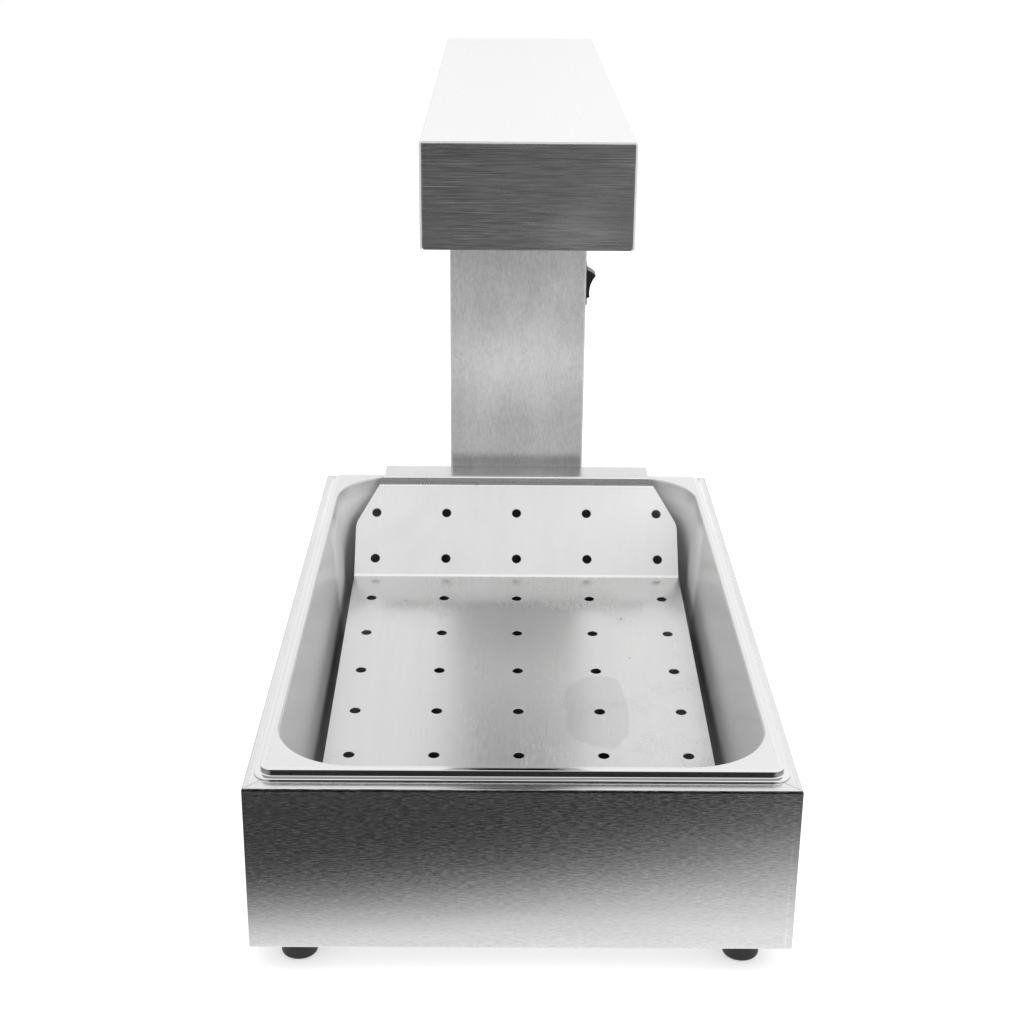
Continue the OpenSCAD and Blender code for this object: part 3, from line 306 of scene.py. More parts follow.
class Effects:
    """Shader node groups that several finishes share, each built once."""

    hair_finer = 2.7
    hair_share = 0.35
    hair_height = 0.5
    streak_broader = 0.045
    marks_stretch = (0.33, 0.67)
    film_fine_share = 0.25
    film_finer = 5.0
    film_from = 0.85
    film_cover = 0.5
    film_edge = 0.22
    scratch_longer = 0.55
    scratch_lines = (0.70, 0.80)
    scratch_fields = (0.45, 0.62)
    edge_breaks = (0.3, 0.6)
    nick_reach = (0.025, 0.05)
    nick_share = 0.28
    nick_ragged = 0.0014
    nick_grit = 700.0
    patch_ragged = 34.0

    def __init__(self) -> None:
        """Builds every group."""
        self.grain = self._grain()
        self.smudge = self._smudge()
        self.scratch = self._scratch()
        self.wave = self._wave()
        self.speckle = self._speckle()
        self.fold = self._fold_highlight()
        self.nick = self._nick()
        self.patch = self._patch()

    def _grain(self) -> bpy.types.NodeTree:
        """Brush marks: fine lines and broader streaks along the stretched direction.

        Returns:
            The group.
        """
        g, given, made = shader_group(
            "brush_marks",
            {"Vector": ORIGIN, "Stretch": ONES, "Wall stretch": ONES, "Wall at": 1.0},
            ("Fine", "Streak", "Height"),
        )
        wall = g.math("GREATER_THAN", g.unsigned(g.parts(given["Vector"])["X"]), given["Wall at"])
        turned = g.scaled(g.vector("SUBTRACT", given["Wall stretch"], given["Stretch"]), wall)
        drawn = g.vector("MULTIPLY", given["Vector"], g.vector("ADD", given["Stretch"], turned))
        fine = g.noise(drawn, scale=1.0, detail=3.0, rough=0.65)
        hair = g.noise(g.scaled(drawn, self.hair_finer), scale=1.0, detail=1.0)
        streak = g.noise(g.scaled(drawn, self.streak_broader), scale=1.0, detail=3.0, rough=0.6)
        mixed = g.plus(g.times(fine, 1.0 - self.hair_share), g.times(hair, self.hair_share))
        g.feed(made["Fine"], g.ramp(mixed, *self.marks_stretch))
        g.feed(made["Streak"], g.ramp(streak, *self.marks_stretch))
        g.feed(made["Height"], g.plus(fine, g.times(hair, self.hair_height)))
        return g.tree

    def _smudge(self) -> bpy.types.NodeTree:
        """Wiped finger marks and dried film, as a mask that grows with Cover.

        Returns:
            The group.
        """
        g, given, made = shader_group("wiped_film", {"Vector": ORIGIN, "Scale": 6.0, "Cover": 0.5},
                                      ("Mask",))
        base = g.noise(given["Vector"], given["Scale"], detail=3.0, distortion=1.2)
        fine = g.noise(given["Vector"], g.times(given["Scale"], self.film_finer), detail=5.0, rough=0.7)
        mixed = g.plus(g.times(base, 1.0 - self.film_fine_share), g.times(fine, self.film_fine_share))
        low = g.minus(self.film_from, g.times(given["Cover"], self.film_cover))
        g.feed(made["Mask"], g.ramp(mixed, low, g.plus(low, self.film_edge)))
        return g.tree

    def _scratch(self) -> bpy.types.NodeTree:
        """Sparse hairline scratches along the stretched direction, as a mask.

        Returns:
            The group.
        """
        g, given, made = shader_group("hairline_scratches", {"Vector": ORIGIN, "Stretch": ONES},
                                      ("Mask",))
        drawn = g.vector("MULTIPLY", given["Vector"], given["Stretch"])
        lines = g.noise(g.scaled(drawn, self.scratch_longer), scale=1.0, detail=0.0)
        fields = g.noise(given["Vector"], scale=14.0, detail=2.0)
        g.feed(made["Mask"], g.times(g.ramp(lines, *self.scratch_lines),
                                     g.ramp(fields, *self.scratch_fields)))
        return g.tree

    @staticmethod
    def _wave() -> bpy.types.NodeTree:
        """Slow unevenness of thin sheet, as a height."""
        g, given, made = shader_group("sheet_waviness", {"Vector": ORIGIN, "Scale": 5.0}, ("Height",))
        g.feed(made["Height"], g.noise(given["Vector"], given["Scale"], detail=1.0))
        return g.tree

    @staticmethod
    def _speckle() -> bpy.types.NodeTree:
        """Moulded or cast texture: a fine pebble height and a dusty tone.

        Returns:
            The group.
        """
        g, given, made = shader_group("moulded_pebble", {"Vector": ORIGIN, "Scale": 900.0},
                                      ("Height", "Tone"))
        pebble = g.add("ShaderNodeTexVoronoi", {"Vector": given["Vector"], "Scale": given["Scale"]})
        g.feed(made["Height"], pebble.outputs["Distance"])
        g.feed(made["Tone"], g.noise(given["Vector"], scale=60.0, detail=4.0, rough=0.65))
        return g.tree

    def _fold_highlight(self) -> bpy.types.NodeTree:
        """Painted highlights: faint light lines along a panel's bends, at a distance from the middle in
        X.

        Returns:
            The group.
        """
        g, given, made = shader_group(
            "fold_painted_highlight", {"Vector": ORIGIN, "Half width": 0.1, "Line width": 0.0006}, ("Mask",)
        )
        beside = g.unsigned(g.parts(given["Vector"])["X"])
        away = g.unsigned(g.minus(beside, given["Half width"]))
        near = g.math("SUBTRACT", 1.0, g.math("DIVIDE", away, given["Line width"]), clamp=True)
        broken = g.ramp(g.noise(given["Vector"], scale=45.0, detail=3.0), *self.edge_breaks)
        g.feed(made["Mask"], g.times(near, broken))
        return g.tree

    def _nick(self) -> bpy.types.NodeTree:
        """Sparse small nicks and dried specks, as a mask.

        Returns:
            The group.
        """
        g, given, made = shader_group("nicks", {"Vector": ORIGIN, "Spacing": 0.02}, ("Mask",))
        ragged = g.add("ShaderNodeTexNoise", {"Vector": given["Vector"], "Scale": self.nick_grit})
        moved = g.scaled(ragged.outputs["Color"], self.nick_ragged)
        cell = g.add("ShaderNodeTexVoronoi", {"Vector": g.vector("ADD", given["Vector"], moved),
                                              "Scale": g.math("DIVIDE", 1.0, given["Spacing"])})
        spot = g.rest(g.ramp(cell.outputs["Distance"], *self.nick_reach))
        draw = g.add("ShaderNodeSeparateColor", {0: cell.outputs["Color"]}).outputs[0]
        g.feed(made["Mask"], g.times(spot, g.math("GREATER_THAN", draw, 1.0 - self.nick_share)))
        return g.tree

    def _patch(self) -> bpy.types.NodeTree:
        """A patch round a place, from an egg's shape at power 2 to a box's at a high power, as a mask.

        Returns:
            The group.
        """
        g, given, made = shader_group(
            "local_patch",
            {"Vector": ORIGIN, "Middle": ORIGIN, "Reach": (0.1, 0.1, 0.1), "Power": 2.0, "Edge": 0.5,
             "Warp": 0.0},
            ("Mask",),
        )
        away = g.vector("DIVIDE", g.vector("SUBTRACT", given["Vector"], given["Middle"]), given["Reach"])
        total = g.plus(*(g.math("POWER", g.unsigned(part), given["Power"]) for part in g.parts(away)))
        away = g.math("POWER", total, g.math("DIVIDE", 1.0, given["Power"]))
        ragged = g.minus(g.noise(given["Vector"], self.patch_ragged, detail=4.0), 0.5)
        away = g.plus(away, g.times(ragged, given["Warp"]))
        g.feed(made["Mask"], g.rest(g.ramp(away, g.rest(given["Edge"]), 1.0)))
        return g.tree


# Finishes


def group(g: Graph, tree: bpy.types.NodeTree, **inputs: object) -> bpy.types.NodeOutputs:
    """Places a node group.

    Args:
        g: the graph that it goes into.
        tree: the group.
        inputs: its inputs' values. Underscores in their names stand for spaces.

    Returns:
        The placed group's outputs.
    """
    node = g.add("ShaderNodeGroup", node_tree=tree)
    for key, value in inputs.items():
        g.feed(node.inputs[key.replace("_", " ")], value)
    return node.outputs


def grey(level: float, warm: float = 0.0) -> Tuple[float, float, float, float]:
    """A grey colour, a little warmer or cooler."""
    return (level * (1 + warm), level, level * (1 - warm), 1.0)


class Shop:
    """Makes each finish's material once and hands it out again by name."""

    def __init__(self) -> None:
        """Builds the shared effects and an empty store."""
        self.effects = Effects()
        self._made: Dict[str, bpy.types.Material] = {}

    def material(self, finish: "Finish") -> bpy.types.Material:
        """Returns the finish's material, making it at its first use.

        Args:
            finish: the finish.

        Returns:
            Its material.
        """
        if finish.name not in self._made:
            made = bpy.data.materials.new(finish.name)
            made.use_nodes = True
            made.node_tree.nodes.clear()
            graph = Graph(made.node_tree)
            shader = graph.add("ShaderNodeBsdfPrincipled")
            graph.add("ShaderNodeOutputMaterial", {"Surface": shader.outputs["BSDF"]})
            place = graph.add("ShaderNodeTexCoord").outputs["Object"]
            finish.paint(graph, shader, place, self.effects)
            self._made[finish.name] = made
        return self._made[finish.name]


@dataclass(frozen=True)
class Finish:
    """A surface finish with its name and the record's slot that it stands for."""

    name: str
    slot: str

    def paint(self, g: Graph, shader: bpy.types.Node, place: object, fx: Effects) -> None:
        """Builds the finish's nodes into the shader.

        Args:
            g: the material's graph.
            shader: the Principled shader.
            place: the object coordinates.
            fx: the shared effect groups.
        """
        raise NotImplementedError


@dataclass(frozen=True)
class Patch:
    """A place where a sheet looks different: a wiped, dried or milky spot, painted shade or light, or a
    painted highlight or dark line along a bend.
    """

    middle: Point
    reach: Point
    tone: float
    dull: float = 0.0
    rough: float = 0.0
    calm: float = 0.0
    power: float = 2.0
    edge: float = 0.5
    warp: float = 0.0


@dataclass(frozen=True)
class Layers:
    """What lies on a brushed sheet at each place, as sockets."""

    place: object
    on_top: object
    fine: object
    streak: object
    height: object
    film: object
    lines: object
    band: object
    spots: Dict[str, object]


@dataclass(frozen=True)
class BrushedSteel(Finish):
    """Stainless sheet with brush marks, wiped film and hairline scratches, and painted light and shade in
    its milky band, its fold lines and its patches.
    """

    grain: Grain = Grain.ACROSS
    tone: float = 0.72
    warm: float = 0.002
    contrast: float = 0.10
    streaks: float = 0.05
    roughness: float = 0.27
    film: float = 0.5
    film_scale: float = 6.0
    film_tone: float = -0.035
    film_rough: float = 0.10
    scratches: float = 0.25
    scratch_tone: float = 0.10
    scratch_gloss: float = 0.6
    grain_depth: float = 0.35
    grain_height: float = 0.06 * MM
    grain_rough: float = 0.10
    waves: float = 0.05
    wave_scale: float = 5.0
    wave_height: float = 4 * MM
    # Where painted highlight lines run along the bends, as a distance from the middle in X.
    fold_at: float = 0.0
    fold_highlight_tone: float = 0.12
    wall_at: float = 9.0
    anisotropy: float = 0.6
    metal: float = 1.0
    glint: float = 0.03
    nicks: float = 0.0
    nick_spacing: float = 0.02
    milky: Point2 = (9.0, 9.5)
    milky_fade: float = 0.012
    milky_end: float = 0.001
    milky_within: Optional[Point] = None
    milky_metal: float = 0.5
    milky_rough: float = 0.0
    # The milky band's tone: painted light above 1, painted shade below 1.
    milky_painted_shading: float = 1.0
    cut_before: float = -9.0
    cut_metal: float = 0.25
    plain_top: float = 0.0
    inside_only: bool = False
    patches: Tuple[Patch, ...] = ()

    def paint(self, g: Graph, shader: bpy.types.Node, place: object, fx: Effects) -> None:
        """Builds brushed steel. See Finish.paint for the arguments."""
        on = self._layers(g, place, fx)
        g.feed(shader.inputs["Base Color"],
               g.scaled(grey(self.tone, self.warm)[:3], self._tone(g, on, fx)))
        g.feed(shader.inputs["Roughness"], self._roughness(g, on))
        g.feed(shader.inputs["Metallic"], self._metal_share(g, on))
        g.feed(shader.inputs["Normal"], self._relief(g, on, fx))
        shader.inputs["Anisotropic"].default_value = self.anisotropy
        if self.anisotropy:
            g.feed(shader.inputs["Tangent"], g.joined(*SPREAD[self.grain]))

    def _layers(self, g: Graph, place: object, fx: Effects) -> Layers:
        """Places the shared effects with this finish's values.

        Args:
            g: the material's graph.
            place: the object coordinates.
            fx: the shared effect groups.

        Returns:
            The sockets that the tone, shine and relief are made from.
        """
        on_top = g.math("GREATER_THAN", g.parts(place)["Z"], FLANGE_Z)
        marks = group(g, fx.grain, Vector=place, Stretch=self.grain.value,
                      Wall_stretch=Grain.FORWARD.value,
                      Wall_at=g.minus(self.wall_at, g.times(on_top, FLANGE_WIDTH)))
        film = group(g, fx.smudge, Vector=place, Scale=self.film_scale, Cover=self.film)
        lines = group(g, fx.scratch, Vector=place, Stretch=self.grain.value)
        return Layers(
            place=place, on_top=on_top, fine=marks["Fine"], streak=marks["Streak"],
            height=marks["Height"], film=film["Mask"], lines=lines["Mask"],
            band=self._milky_band(g, place), spots=self._spots(g, place, fx),
        )

    def _spots(self, g: Graph, place: object, fx: Effects) -> Dict[str, object]:
        """Adds up what the patches change.

        Args:
            g: the material's graph.
            place: the object coordinates.
            fx: the shared effect groups.

        Returns:
            The sums of the patches' tone, dull, rough and calm.
        """
        sums: Dict[str, object] = {"tone": 0.0, "dull": 0.0, "rough": 0.0, "calm": 0.0}
        where = 1.0
        if self.inside_only:
            where = g.add("ShaderNodeAttribute", attribute_name=INSIDE).outputs["Fac"]
        for spot in self.patches:
            mask = group(g, fx.patch, Vector=place, Middle=spot.middle, Reach=spot.reach,
                         Power=spot.power, Edge=spot.edge, Warp=spot.warp)["Mask"]
            mask = g.times(mask, where)
            for kind, total in sums.items():
                sums[kind] = g.plus(g.times(mask, getattr(spot, kind)), total)
        return sums

    def _milky_band(self, g: Graph, place: object) -> object:
        """Mask of the heights, within a plan, where the sheet has a milky, scattered shine and a scaled
        tone, which is painted light where raised and painted shade where lowered.

        Args:
            g: the material's graph.
            place: the object coordinates.

        Returns:
            The mask's socket.
        """
        parts = g.parts(place)
        low, high = self.milky
        band = g.times(g.ramp(parts["Z"], low, low + self.milky_fade),
                       g.rest(g.ramp(parts["Z"], high, high + self.milky_end)))
        if self.milky_within is None:
            return band
        half_x, half_y, middle_y = self.milky_within
        in_y = g.math("LESS_THAN", g.unsigned(g.minus(parts["Y"], middle_y)), half_y)
        in_x = g.math("LESS_THAN", g.unsigned(parts["X"]), half_x)
        return g.times(band, g.times(in_x, in_y))

    def _tone(self, g: Graph, on: Layers, fx: Effects) -> object:
        """The share of the finish's tone that each place has.

        Args:
            g: the material's graph.
            on: what lies on the sheet.
            fx: the shared effect groups.

        Returns:
            The share's socket, above zero everywhere.
        """
        fine = g.times(g.minus(on.fine, 0.5), self.contrast, g.rest(g.times(on.on_top, self.plain_top)),
                       g.rest(on.spots["calm"]))
        # The milky band's term below is painted light on the insert's panel and painted shade in the pan.
        tone = g.plus(1.0 - self.streaks / 2, g.plus(fine, g.times(on.streak, self.streaks)),
                      g.times(on.film, self.film_tone),
                      g.times(on.lines, self.scratch_tone * self.scratches),
                      g.times(on.band, self.milky_painted_shading - 1.0))
        # Painted highlights: light lines along the bends at fold_at.
        if self.fold_at:
            fold = group(g, fx.fold, Vector=on.place, Half_width=self.fold_at)["Mask"]
            tone = g.plus(tone, g.times(fold, self.fold_highlight_tone))
        if self.nicks:
            nick = group(g, fx.nick, Vector=on.place, Spacing=self.nick_spacing)["Mask"]
            tone = g.plus(tone, g.times(nick, self.nicks))
        # The patches' tone adds painted shade, painted light and painted highlights, as well as wiped,
        # dried and smudged marks.
        return g.highest(g.plus(tone, on.spots["tone"]), DARKEST)

    def _roughness(self, g: Graph, on: Layers) -> object:
        """How far each place scatters its reflections.

        Args:
            g: the material's graph.
            on: what lies on the sheet.

        Returns:
            The roughness's socket.
        """
        rough = g.plus(self.roughness - self.grain_rough / 2, g.times(on.fine, self.grain_rough),
                       g.times(on.film, self.film_rough), g.times(on.band, self.milky_rough),
                       on.spots["rough"])
        return g.minus(rough, g.times(on.lines, self.scratch_gloss * self.grain_rough))

    def _metal_share(self, g: Graph, on: Layers) -> object:
        """How mirror-like the sheet is, which milky places, marks and the cut front edge lower.

        Args:
            g: the material's graph.
            on: what lies on the sheet.

        Returns:
            The share's socket, from 0 to 1.
        """
        share = g.minus(self.metal, g.times(on.band, self.metal - self.milky_metal))
        cut = g.math("LESS_THAN", g.parts(on.place)["Y"], self.cut_before)
        share = g.minus(share, g.times(cut, self.metal - self.cut_metal))
        loss = g.plus(g.times(on.fine, self.glint),
                      g.times(on.lines, self.scratch_tone * self.scratches), on.spots["dull"])
        return g.math("SUBTRACT", share, loss, clamp=True)

    def _relief(self, g: Graph, on: Layers, fx: Effects) -> object:
        """The sheet's slow waves and its brush marks, as a normal.

        Args:
            g: the material's graph.
            on: what lies on the sheet.
            fx: the shared effect groups.

        Returns:
            The normal's socket.
        """
        wave = group(g, fx.wave, Vector=on.place, Scale=self.wave_scale)["Height"]
        slow = g.add("ShaderNodeBump", {"Height": wave, "Strength": self.waves,
                                        "Distance": self.wave_height})
        fine = g.add("ShaderNodeBump", {
            "Height": g.plus(on.height, g.times(on.lines, self.scratches)),
            "Strength": self.grain_depth, "Distance": self.grain_height, "Normal": slow.outputs[0],
        })
        return fine.outputs[0]


@dataclass(frozen=True)
class PlainMetal(Finish):
    """Unbrushed metal: plated fasteners, brass, a polished reflector or a scaled sheath."""

    colour: Rgb = (0.6, 0.6, 0.6)
    roughness: float = 0.3
    mottle: float = 0.2
    scale: float = 120.0
    mottle_share: float = 0.8
    pebble_finer: float = 8.0
    film: float = 0.5
    film_rough: float = 0.12
    pebble: float = 0.15
    pebble_height: float = 0.2 * MM

    def paint(self, g: Graph, shader: bpy.types.Node, place: object, fx: Effects) -> None:
        """Builds plain metal. See Finish.paint for the arguments."""
        tone = group(g, fx.speckle, Vector=place, Scale=self.scale * self.pebble_finer)["Tone"]
        film = group(g, fx.smudge, Vector=place, Scale=self.scale, Cover=self.film)["Mask"]
        dull = tuple(c * (1 - self.mottle) for c in self.colour)
        mixed = g.blend(g.times(tone, self.mottle_share), (*self.colour, 1.0), (*dull, 1.0))
        g.feed(shader.inputs["Base Color"], mixed)
        g.feed(shader.inputs["Roughness"],
               g.plus(self.roughness - self.film_rough / 3, g.times(film, self.film_rough)))
        shader.inputs["Metallic"].default_value = 1.0
        bump = g.add("ShaderNodeBump", {"Height": tone, "Strength": self.pebble,
                                        "Distance": self.pebble_height})
        g.feed(shader.inputs["Normal"], bump.outputs[0])


@dataclass(frozen=True)
class Moulded(Finish):
    """Moulded plastic, rubber or fired ceramic, with a fine pebble and dust."""

    colour: Rgb = (0.02, 0.02, 0.02)
    dust: Rgb = (0.10, 0.10, 0.10)
    dusting: float = 0.3
    roughness: float = 0.5
    pebble: float = 0.3
    scale: float = 900.0
    dust_scale: float = 40.0
    dust_cover: float = 0.6
    dust_share: float = 0.6
    rough_spread: float = 0.12
    rough_less: float = 0.05
    pebble_height: float = 0.15 * MM

    def paint(self, g: Graph, shader: bpy.types.Node, place: object, fx: Effects) -> None:
        """Builds a moulded surface. See Finish.paint for the arguments."""
        texture = group(g, fx.speckle, Vector=place, Scale=self.scale)
        film = group(g, fx.smudge, Vector=place, Scale=self.dust_scale, Cover=self.dust_cover)["Mask"]
        amount = g.times(g.plus(film, texture["Tone"]), self.dusting * self.dust_share)
        g.feed(shader.inputs["Base Color"], g.blend(amount, (*self.colour, 1.0), (*self.dust, 1.0)))
        g.feed(shader.inputs["Roughness"],
               g.plus(self.roughness - self.rough_less, g.times(texture["Tone"], self.rough_spread)))
        bump = g.add("ShaderNodeBump", {"Height": texture["Height"], "Strength": self.pebble,
                                        "Distance": self.pebble_height})
        g.feed(shader.inputs["Normal"], bump.outputs[0])


# Painted shade: a dark line along the bend at the top of the base's front.
BASE_FOLD_PAINTED_SHADE = Patch((0.0, -0.3100, 0.1290), (0.5, 0.002, 0.0009), -0.85, power=16.0, edge=0.3)
BASE_FOOT = Patch((0.0, -0.036, 0.018), (0.5, 0.9, 0.060), 0.0, calm=0.55, power=16.0, edge=0.8)
PAN_FLOOR_SHADE = Patch((0.0, -0.036, 0.0366), (0.139, 0.275, 0.0015), -0.18, rough=0.45, power=16.0,
                        edge=0.08)
PAN_WALL_SHADE = Patch((0.0, 0.216, 0.070), (0.136, 0.020, 0.044), -0.50, power=16.0, edge=0.08)
# Painted light: the pan's rear walls made lighter and more matt.
PAN_REAR_PAINTED_LIGHT = Patch((0.0, 0.225, 0.0552), (0.5, 0.135, 0.080), 0.38, dull=0.28, power=16.0,
                       edge=0.18)
PAN_CORNER_SHADE = Patch((0.0, 0.195, 0.060), (0.1525, 0.042, 0.052), -0.40, power=16.0, edge=0.12)
PAN_FOOT_SHADE = Patch((0.0, -0.036, 0.0366), (0.5, 0.5, 0.020), -0.38, power=16.0, edge=0.7)
PAN_STEP_SHADE = Patch((0.0, -0.299, 0.1336), (0.5, 0.008, 0.0019), -0.6, power=16.0, edge=0.2)
# Painted highlights: light lines along the insert's crease and along the top and foot of its lip.
INSERT_CREASE_PAINTED_HIGHLIGHT = Patch((0.0, 0.1511, 0.0708), (0.5, 0.004, 0.0008), 0.35, dull=0.9, power=16.0, edge=0.3)
INSERT_LIP_TOP_PAINTED_HIGHLIGHT = Patch((0.0, 0.2084, 0.1393), (0.5, 0.001, 0.0008), 0.35, dull=0.9, power=16.0, edge=0.3)
INSERT_LIP_FOOT_PAINTED_HIGHLIGHT = Patch((0.0, 0.2080, 0.1320), (0.5, 0.003, 0.0007), 0.35, dull=0.9, power=16.0,
                        edge=0.3)
INSERT_DRIED = Patch((0.058, -0.062, 0.0540), (0.025, 0.056, 0.03), -0.10, edge=0.08, warp=0.7)
INSERT_WIPED = Patch((0.108, -0.030, 0.056), (0.028, 0.105, 0.05), 0.03, dull=0.16, edge=0.12, warp=0.9)
# Painted light on the column's middle, lighter and more matt, and painted shade on its top.
COLUMN_MIDDLE_PAINTED_LIGHT = Patch((0.0, 0.238, 0.232), (0.10, 0.05, 0.056), 0.18, dull=0.2, edge=0.9, warp=0.5)
COLUMN_TOP_PAINTED_SHADE = Patch((0.0, 0.238, 0.370), (0.5, 0.05, 0.090), -0.24, edge=0.9, warp=0.2)
COLUMN_FOOT = Patch((0.0, 0.238, 0.136), (0.5, 0.004, 0.020), 0.0, dull=-0.5, power=8.0, edge=0.5)
CAP_SMUDGE = Patch((0.030, -0.247, 0.452), (0.034, 0.02, 0.022), 0.15, dull=0.03, edge=0.8, warp=0.9)


@dataclass(frozen=True)
class Finishes:
    """Every finish on the object."""

    # On the base, the fold_at lines are painted highlights along the front's side bends, and the first
    # patch paints a dark line of shade along the top bend.
    base: Finish = BrushedSteel("base_brushed", "body_steel", Grain.ACROSS, tone=0.78, contrast=0.50,
                                streaks=0.06, roughness=0.20, anisotropy=0.3, fold_at=0.1633,
                                wall_at=0.1669, glint=0.03, grain_depth=0.12, nicks=0.5,
                                nick_spacing=0.055, plain_top=0.85, patches=(BASE_FOLD_PAINTED_SHADE, BASE_FOOT))
    plate: Finish = BrushedSteel("bottom_plate_plain", "plate_steel", Grain.FORWARD, roughness=0.36)
    # In the pan, the milky band's lower tone is painted shade; the patches paint shade under and behind
    # the insert, in the rear corners, round the floor and on the rim's step, and light on the rear walls.
    pan: Finish = BrushedSteel("pan_satin", "pan_steel", Grain.NONE, tone=0.84, contrast=0.01,
                               streaks=0.01, roughness=0.09, film=0.40, grain_depth=0.01, waves=0.03,
                               grain_rough=0.02, anisotropy=0.0, scratches=0.0, glint=0.0,
                               milky=(0.0368, 0.1352), milky_fade=0.003,
                               milky_within=(0.1555, 0.2580, -0.036), milky_metal=0.28,
                               milky_rough=0.15, milky_painted_shading=0.78, inside_only=True,
                               patches=(PAN_FLOOR_SHADE, PAN_WALL_SHADE, PAN_REAR_PAINTED_LIGHT,
                                        PAN_CORNER_SHADE, PAN_FOOT_SHADE, PAN_STEP_SHADE))
    # On the insert, the milky band's higher tone is painted light on the panel, and the crease and lip
    # patches are painted highlights; the dried and wiped patches are marks on the sheet.
    insert: Finish = BrushedSteel("insert_brushed", "insert_steel", Grain.LEANING, tone=0.71,
                                  contrast=0.04, streaks=0.03, roughness=0.22, film=0.65,
                                  film_scale=9.0, film_tone=-0.05, scratches=0.0, grain_depth=0.015,
                                  anisotropy=0.7, metal=0.95, glint=0.0, nicks=-0.45,
                                  nick_spacing=0.03, milky=(0.0698, 0.1313), milky_fade=0.0010,
                                  milky_metal=0.25, milky_rough=0.25, milky_painted_shading=1.26,
                                  patches=(INSERT_CREASE_PAINTED_HIGHLIGHT, INSERT_LIP_TOP_PAINTED_HIGHLIGHT, INSERT_LIP_FOOT_PAINTED_HIGHLIGHT,
                                           INSERT_DRIED, INSERT_WIPED))
    # On the column, the patches paint light on its middle and shade on its top.
    column: Finish = BrushedSteel("column_brushed", "column_steel", Grain.UPRIGHT, tone=0.76,
                                  contrast=0.22, streaks=0.10, roughness=0.42, film=0.7,
                                  film_scale=13.0, film_tone=0.09, grain_depth=0.08, anisotropy=0.7,
                                  milky=(-1.0, 9.0), milky_metal=0.42,
                                  patches=(COLUMN_MIDDLE_PAINTED_LIGHT, COLUMN_TOP_PAINTED_SHADE, COLUMN_FOOT))
    head: Finish = BrushedSteel("head_brushed", "head_steel", Grain.LONG_FORWARD, tone=0.89,
                                contrast=0.015, streaks=0.01, film_tone=-0.01, grain_depth=0.01,
                                grain_rough=0.03, glint=0.0, cut_before=-0.2462)
    head_cap: Finish = BrushedSteel("head_cap_brushed", "head_cap_steel", Grain.LONG_ACROSS, tone=0.56,
                                    contrast=0.64, streaks=0.16, roughness=0.22, film=0.62,
                                    film_scale=9.0, film_tone=0.03, anisotropy=0.4, scratches=1.8,
                                    grain_depth=0.08, glint=0.02, nicks=0.6, nick_spacing=0.05,
                                    patches=(CAP_SMUDGE,))
    mirror: Finish = PlainMetal("reflector_polish", "reflector_polish", (0.86, 0.86, 0.88), 0.10, 0.06,
                                40.0)
    sheath: Finish = PlainMetal("element_sheath", "element_sheath", (0.17, 0.15, 0.13), 0.48, 0.4, 220.0)
    wire: Finish = PlainMetal("guard_wire", "guard_wire", (0.74, 0.74, 0.76), 0.16, 0.12, 200.0)
    zinc: Finish = PlainMetal("zinc_plate", "fastener_zinc", (0.66, 0.67, 0.70), 0.26, 0.16, 400.0)
    brass: Finish = PlainMetal("brass", "brass", (0.72, 0.50, 0.20), 0.28, 0.25, 300.0)
    rubber: Finish = Moulded("foot_rubber", "foot_rubber", (0.012, 0.012, 0.012), (0.07, 0.07, 0.07),
                             0.4, 0.62, 0.4, 700.0)
    black: Finish = Moulded("black_plastic", "black_plastic", (0.010, 0.010, 0.011), (0.05, 0.05, 0.05),
                            0.15, 0.42, 0.35, 1600.0)
    rocker: Finish = Moulded("rocker_plastic", "rocker_plastic", (0.008, 0.008, 0.009),
                             (0.05, 0.05, 0.05), 0.12, 0.30, 0.15, 2400.0)
    ceramic: Finish = Moulded("ceramic", "ceramic", (0.80, 0.78, 0.72), (0.55, 0.52, 0.46), 0.5, 0.5,
                              0.3, 800.0)
    lead_brown: Finish = Moulded("lead_brown", "lead_brown", (0.11, 0.045, 0.02), (0.2, 0.15, 0.1), 0.2)
    lead_black: Finish = Moulded("lead_black", "lead_black", (0.012, 0.012, 0.012), (0.1, 0.1, 0.1), 0.2)
    lead_blue: Finish = Moulded("lead_blue", "lead_blue", (0.02, 0.06, 0.32), (0.15, 0.2, 0.35), 0.2)
    lead_green: Finish = Moulded("lead_green", "lead_green", (0.12, 0.34, 0.03), (0.3, 0.35, 0.1), 0.2)


# Meshes


def new_piece(name: str, mesh: bpy.types.Mesh) -> bpy.types.Object:
    """Puts a mesh into the scene under a piece's name."""
    piece = bpy.data.objects.new(name, mesh)
    bpy.context.scene.collection.objects.link(piece)
    return piece


def smooth(mesh: bpy.types.Mesh, sharp_deg: float = 32.0) -> None:
    """Shades a mesh smoothly, with sharp edges from an angle up."""
    mesh.polygons.foreach_set("use_smooth", [True] * len(mesh.polygons))
    mesh.set_sharp_from_angle(angle=math.radians(sharp_deg))
    mesh.update()


def bevel(piece: bpy.types.Object, width: float, limit_deg: float = 40.0, segments: int = 2) -> None:
    """Rounds a piece's sharp edges by a modifier and keeps flat faces flat.

    Args:
        piece: the piece.
        width: how far the rounding reaches.
        limit_deg: the angle from which an edge counts as sharp.
        segments: how many faces the rounding has.
    """
    rounding = piece.modifiers.new("edge_rounding", "BEVEL")
    rounding.width = width
    rounding.segments = segments
    rounding.limit_method = "ANGLE"
    rounding.angle_limit = math.radians(limit_deg)
    rounding.use_clamp_overlap = True
    rounding.harden_normals = False
    rounding.miter_outer = "MITER_ARC"
    weighted = piece.modifiers.new("flat_faces", "WEIGHTED_NORMAL")
    weighted.keep_sharp = True
    weighted.mode = "FACE_AREA"
    weighted.weight = 100


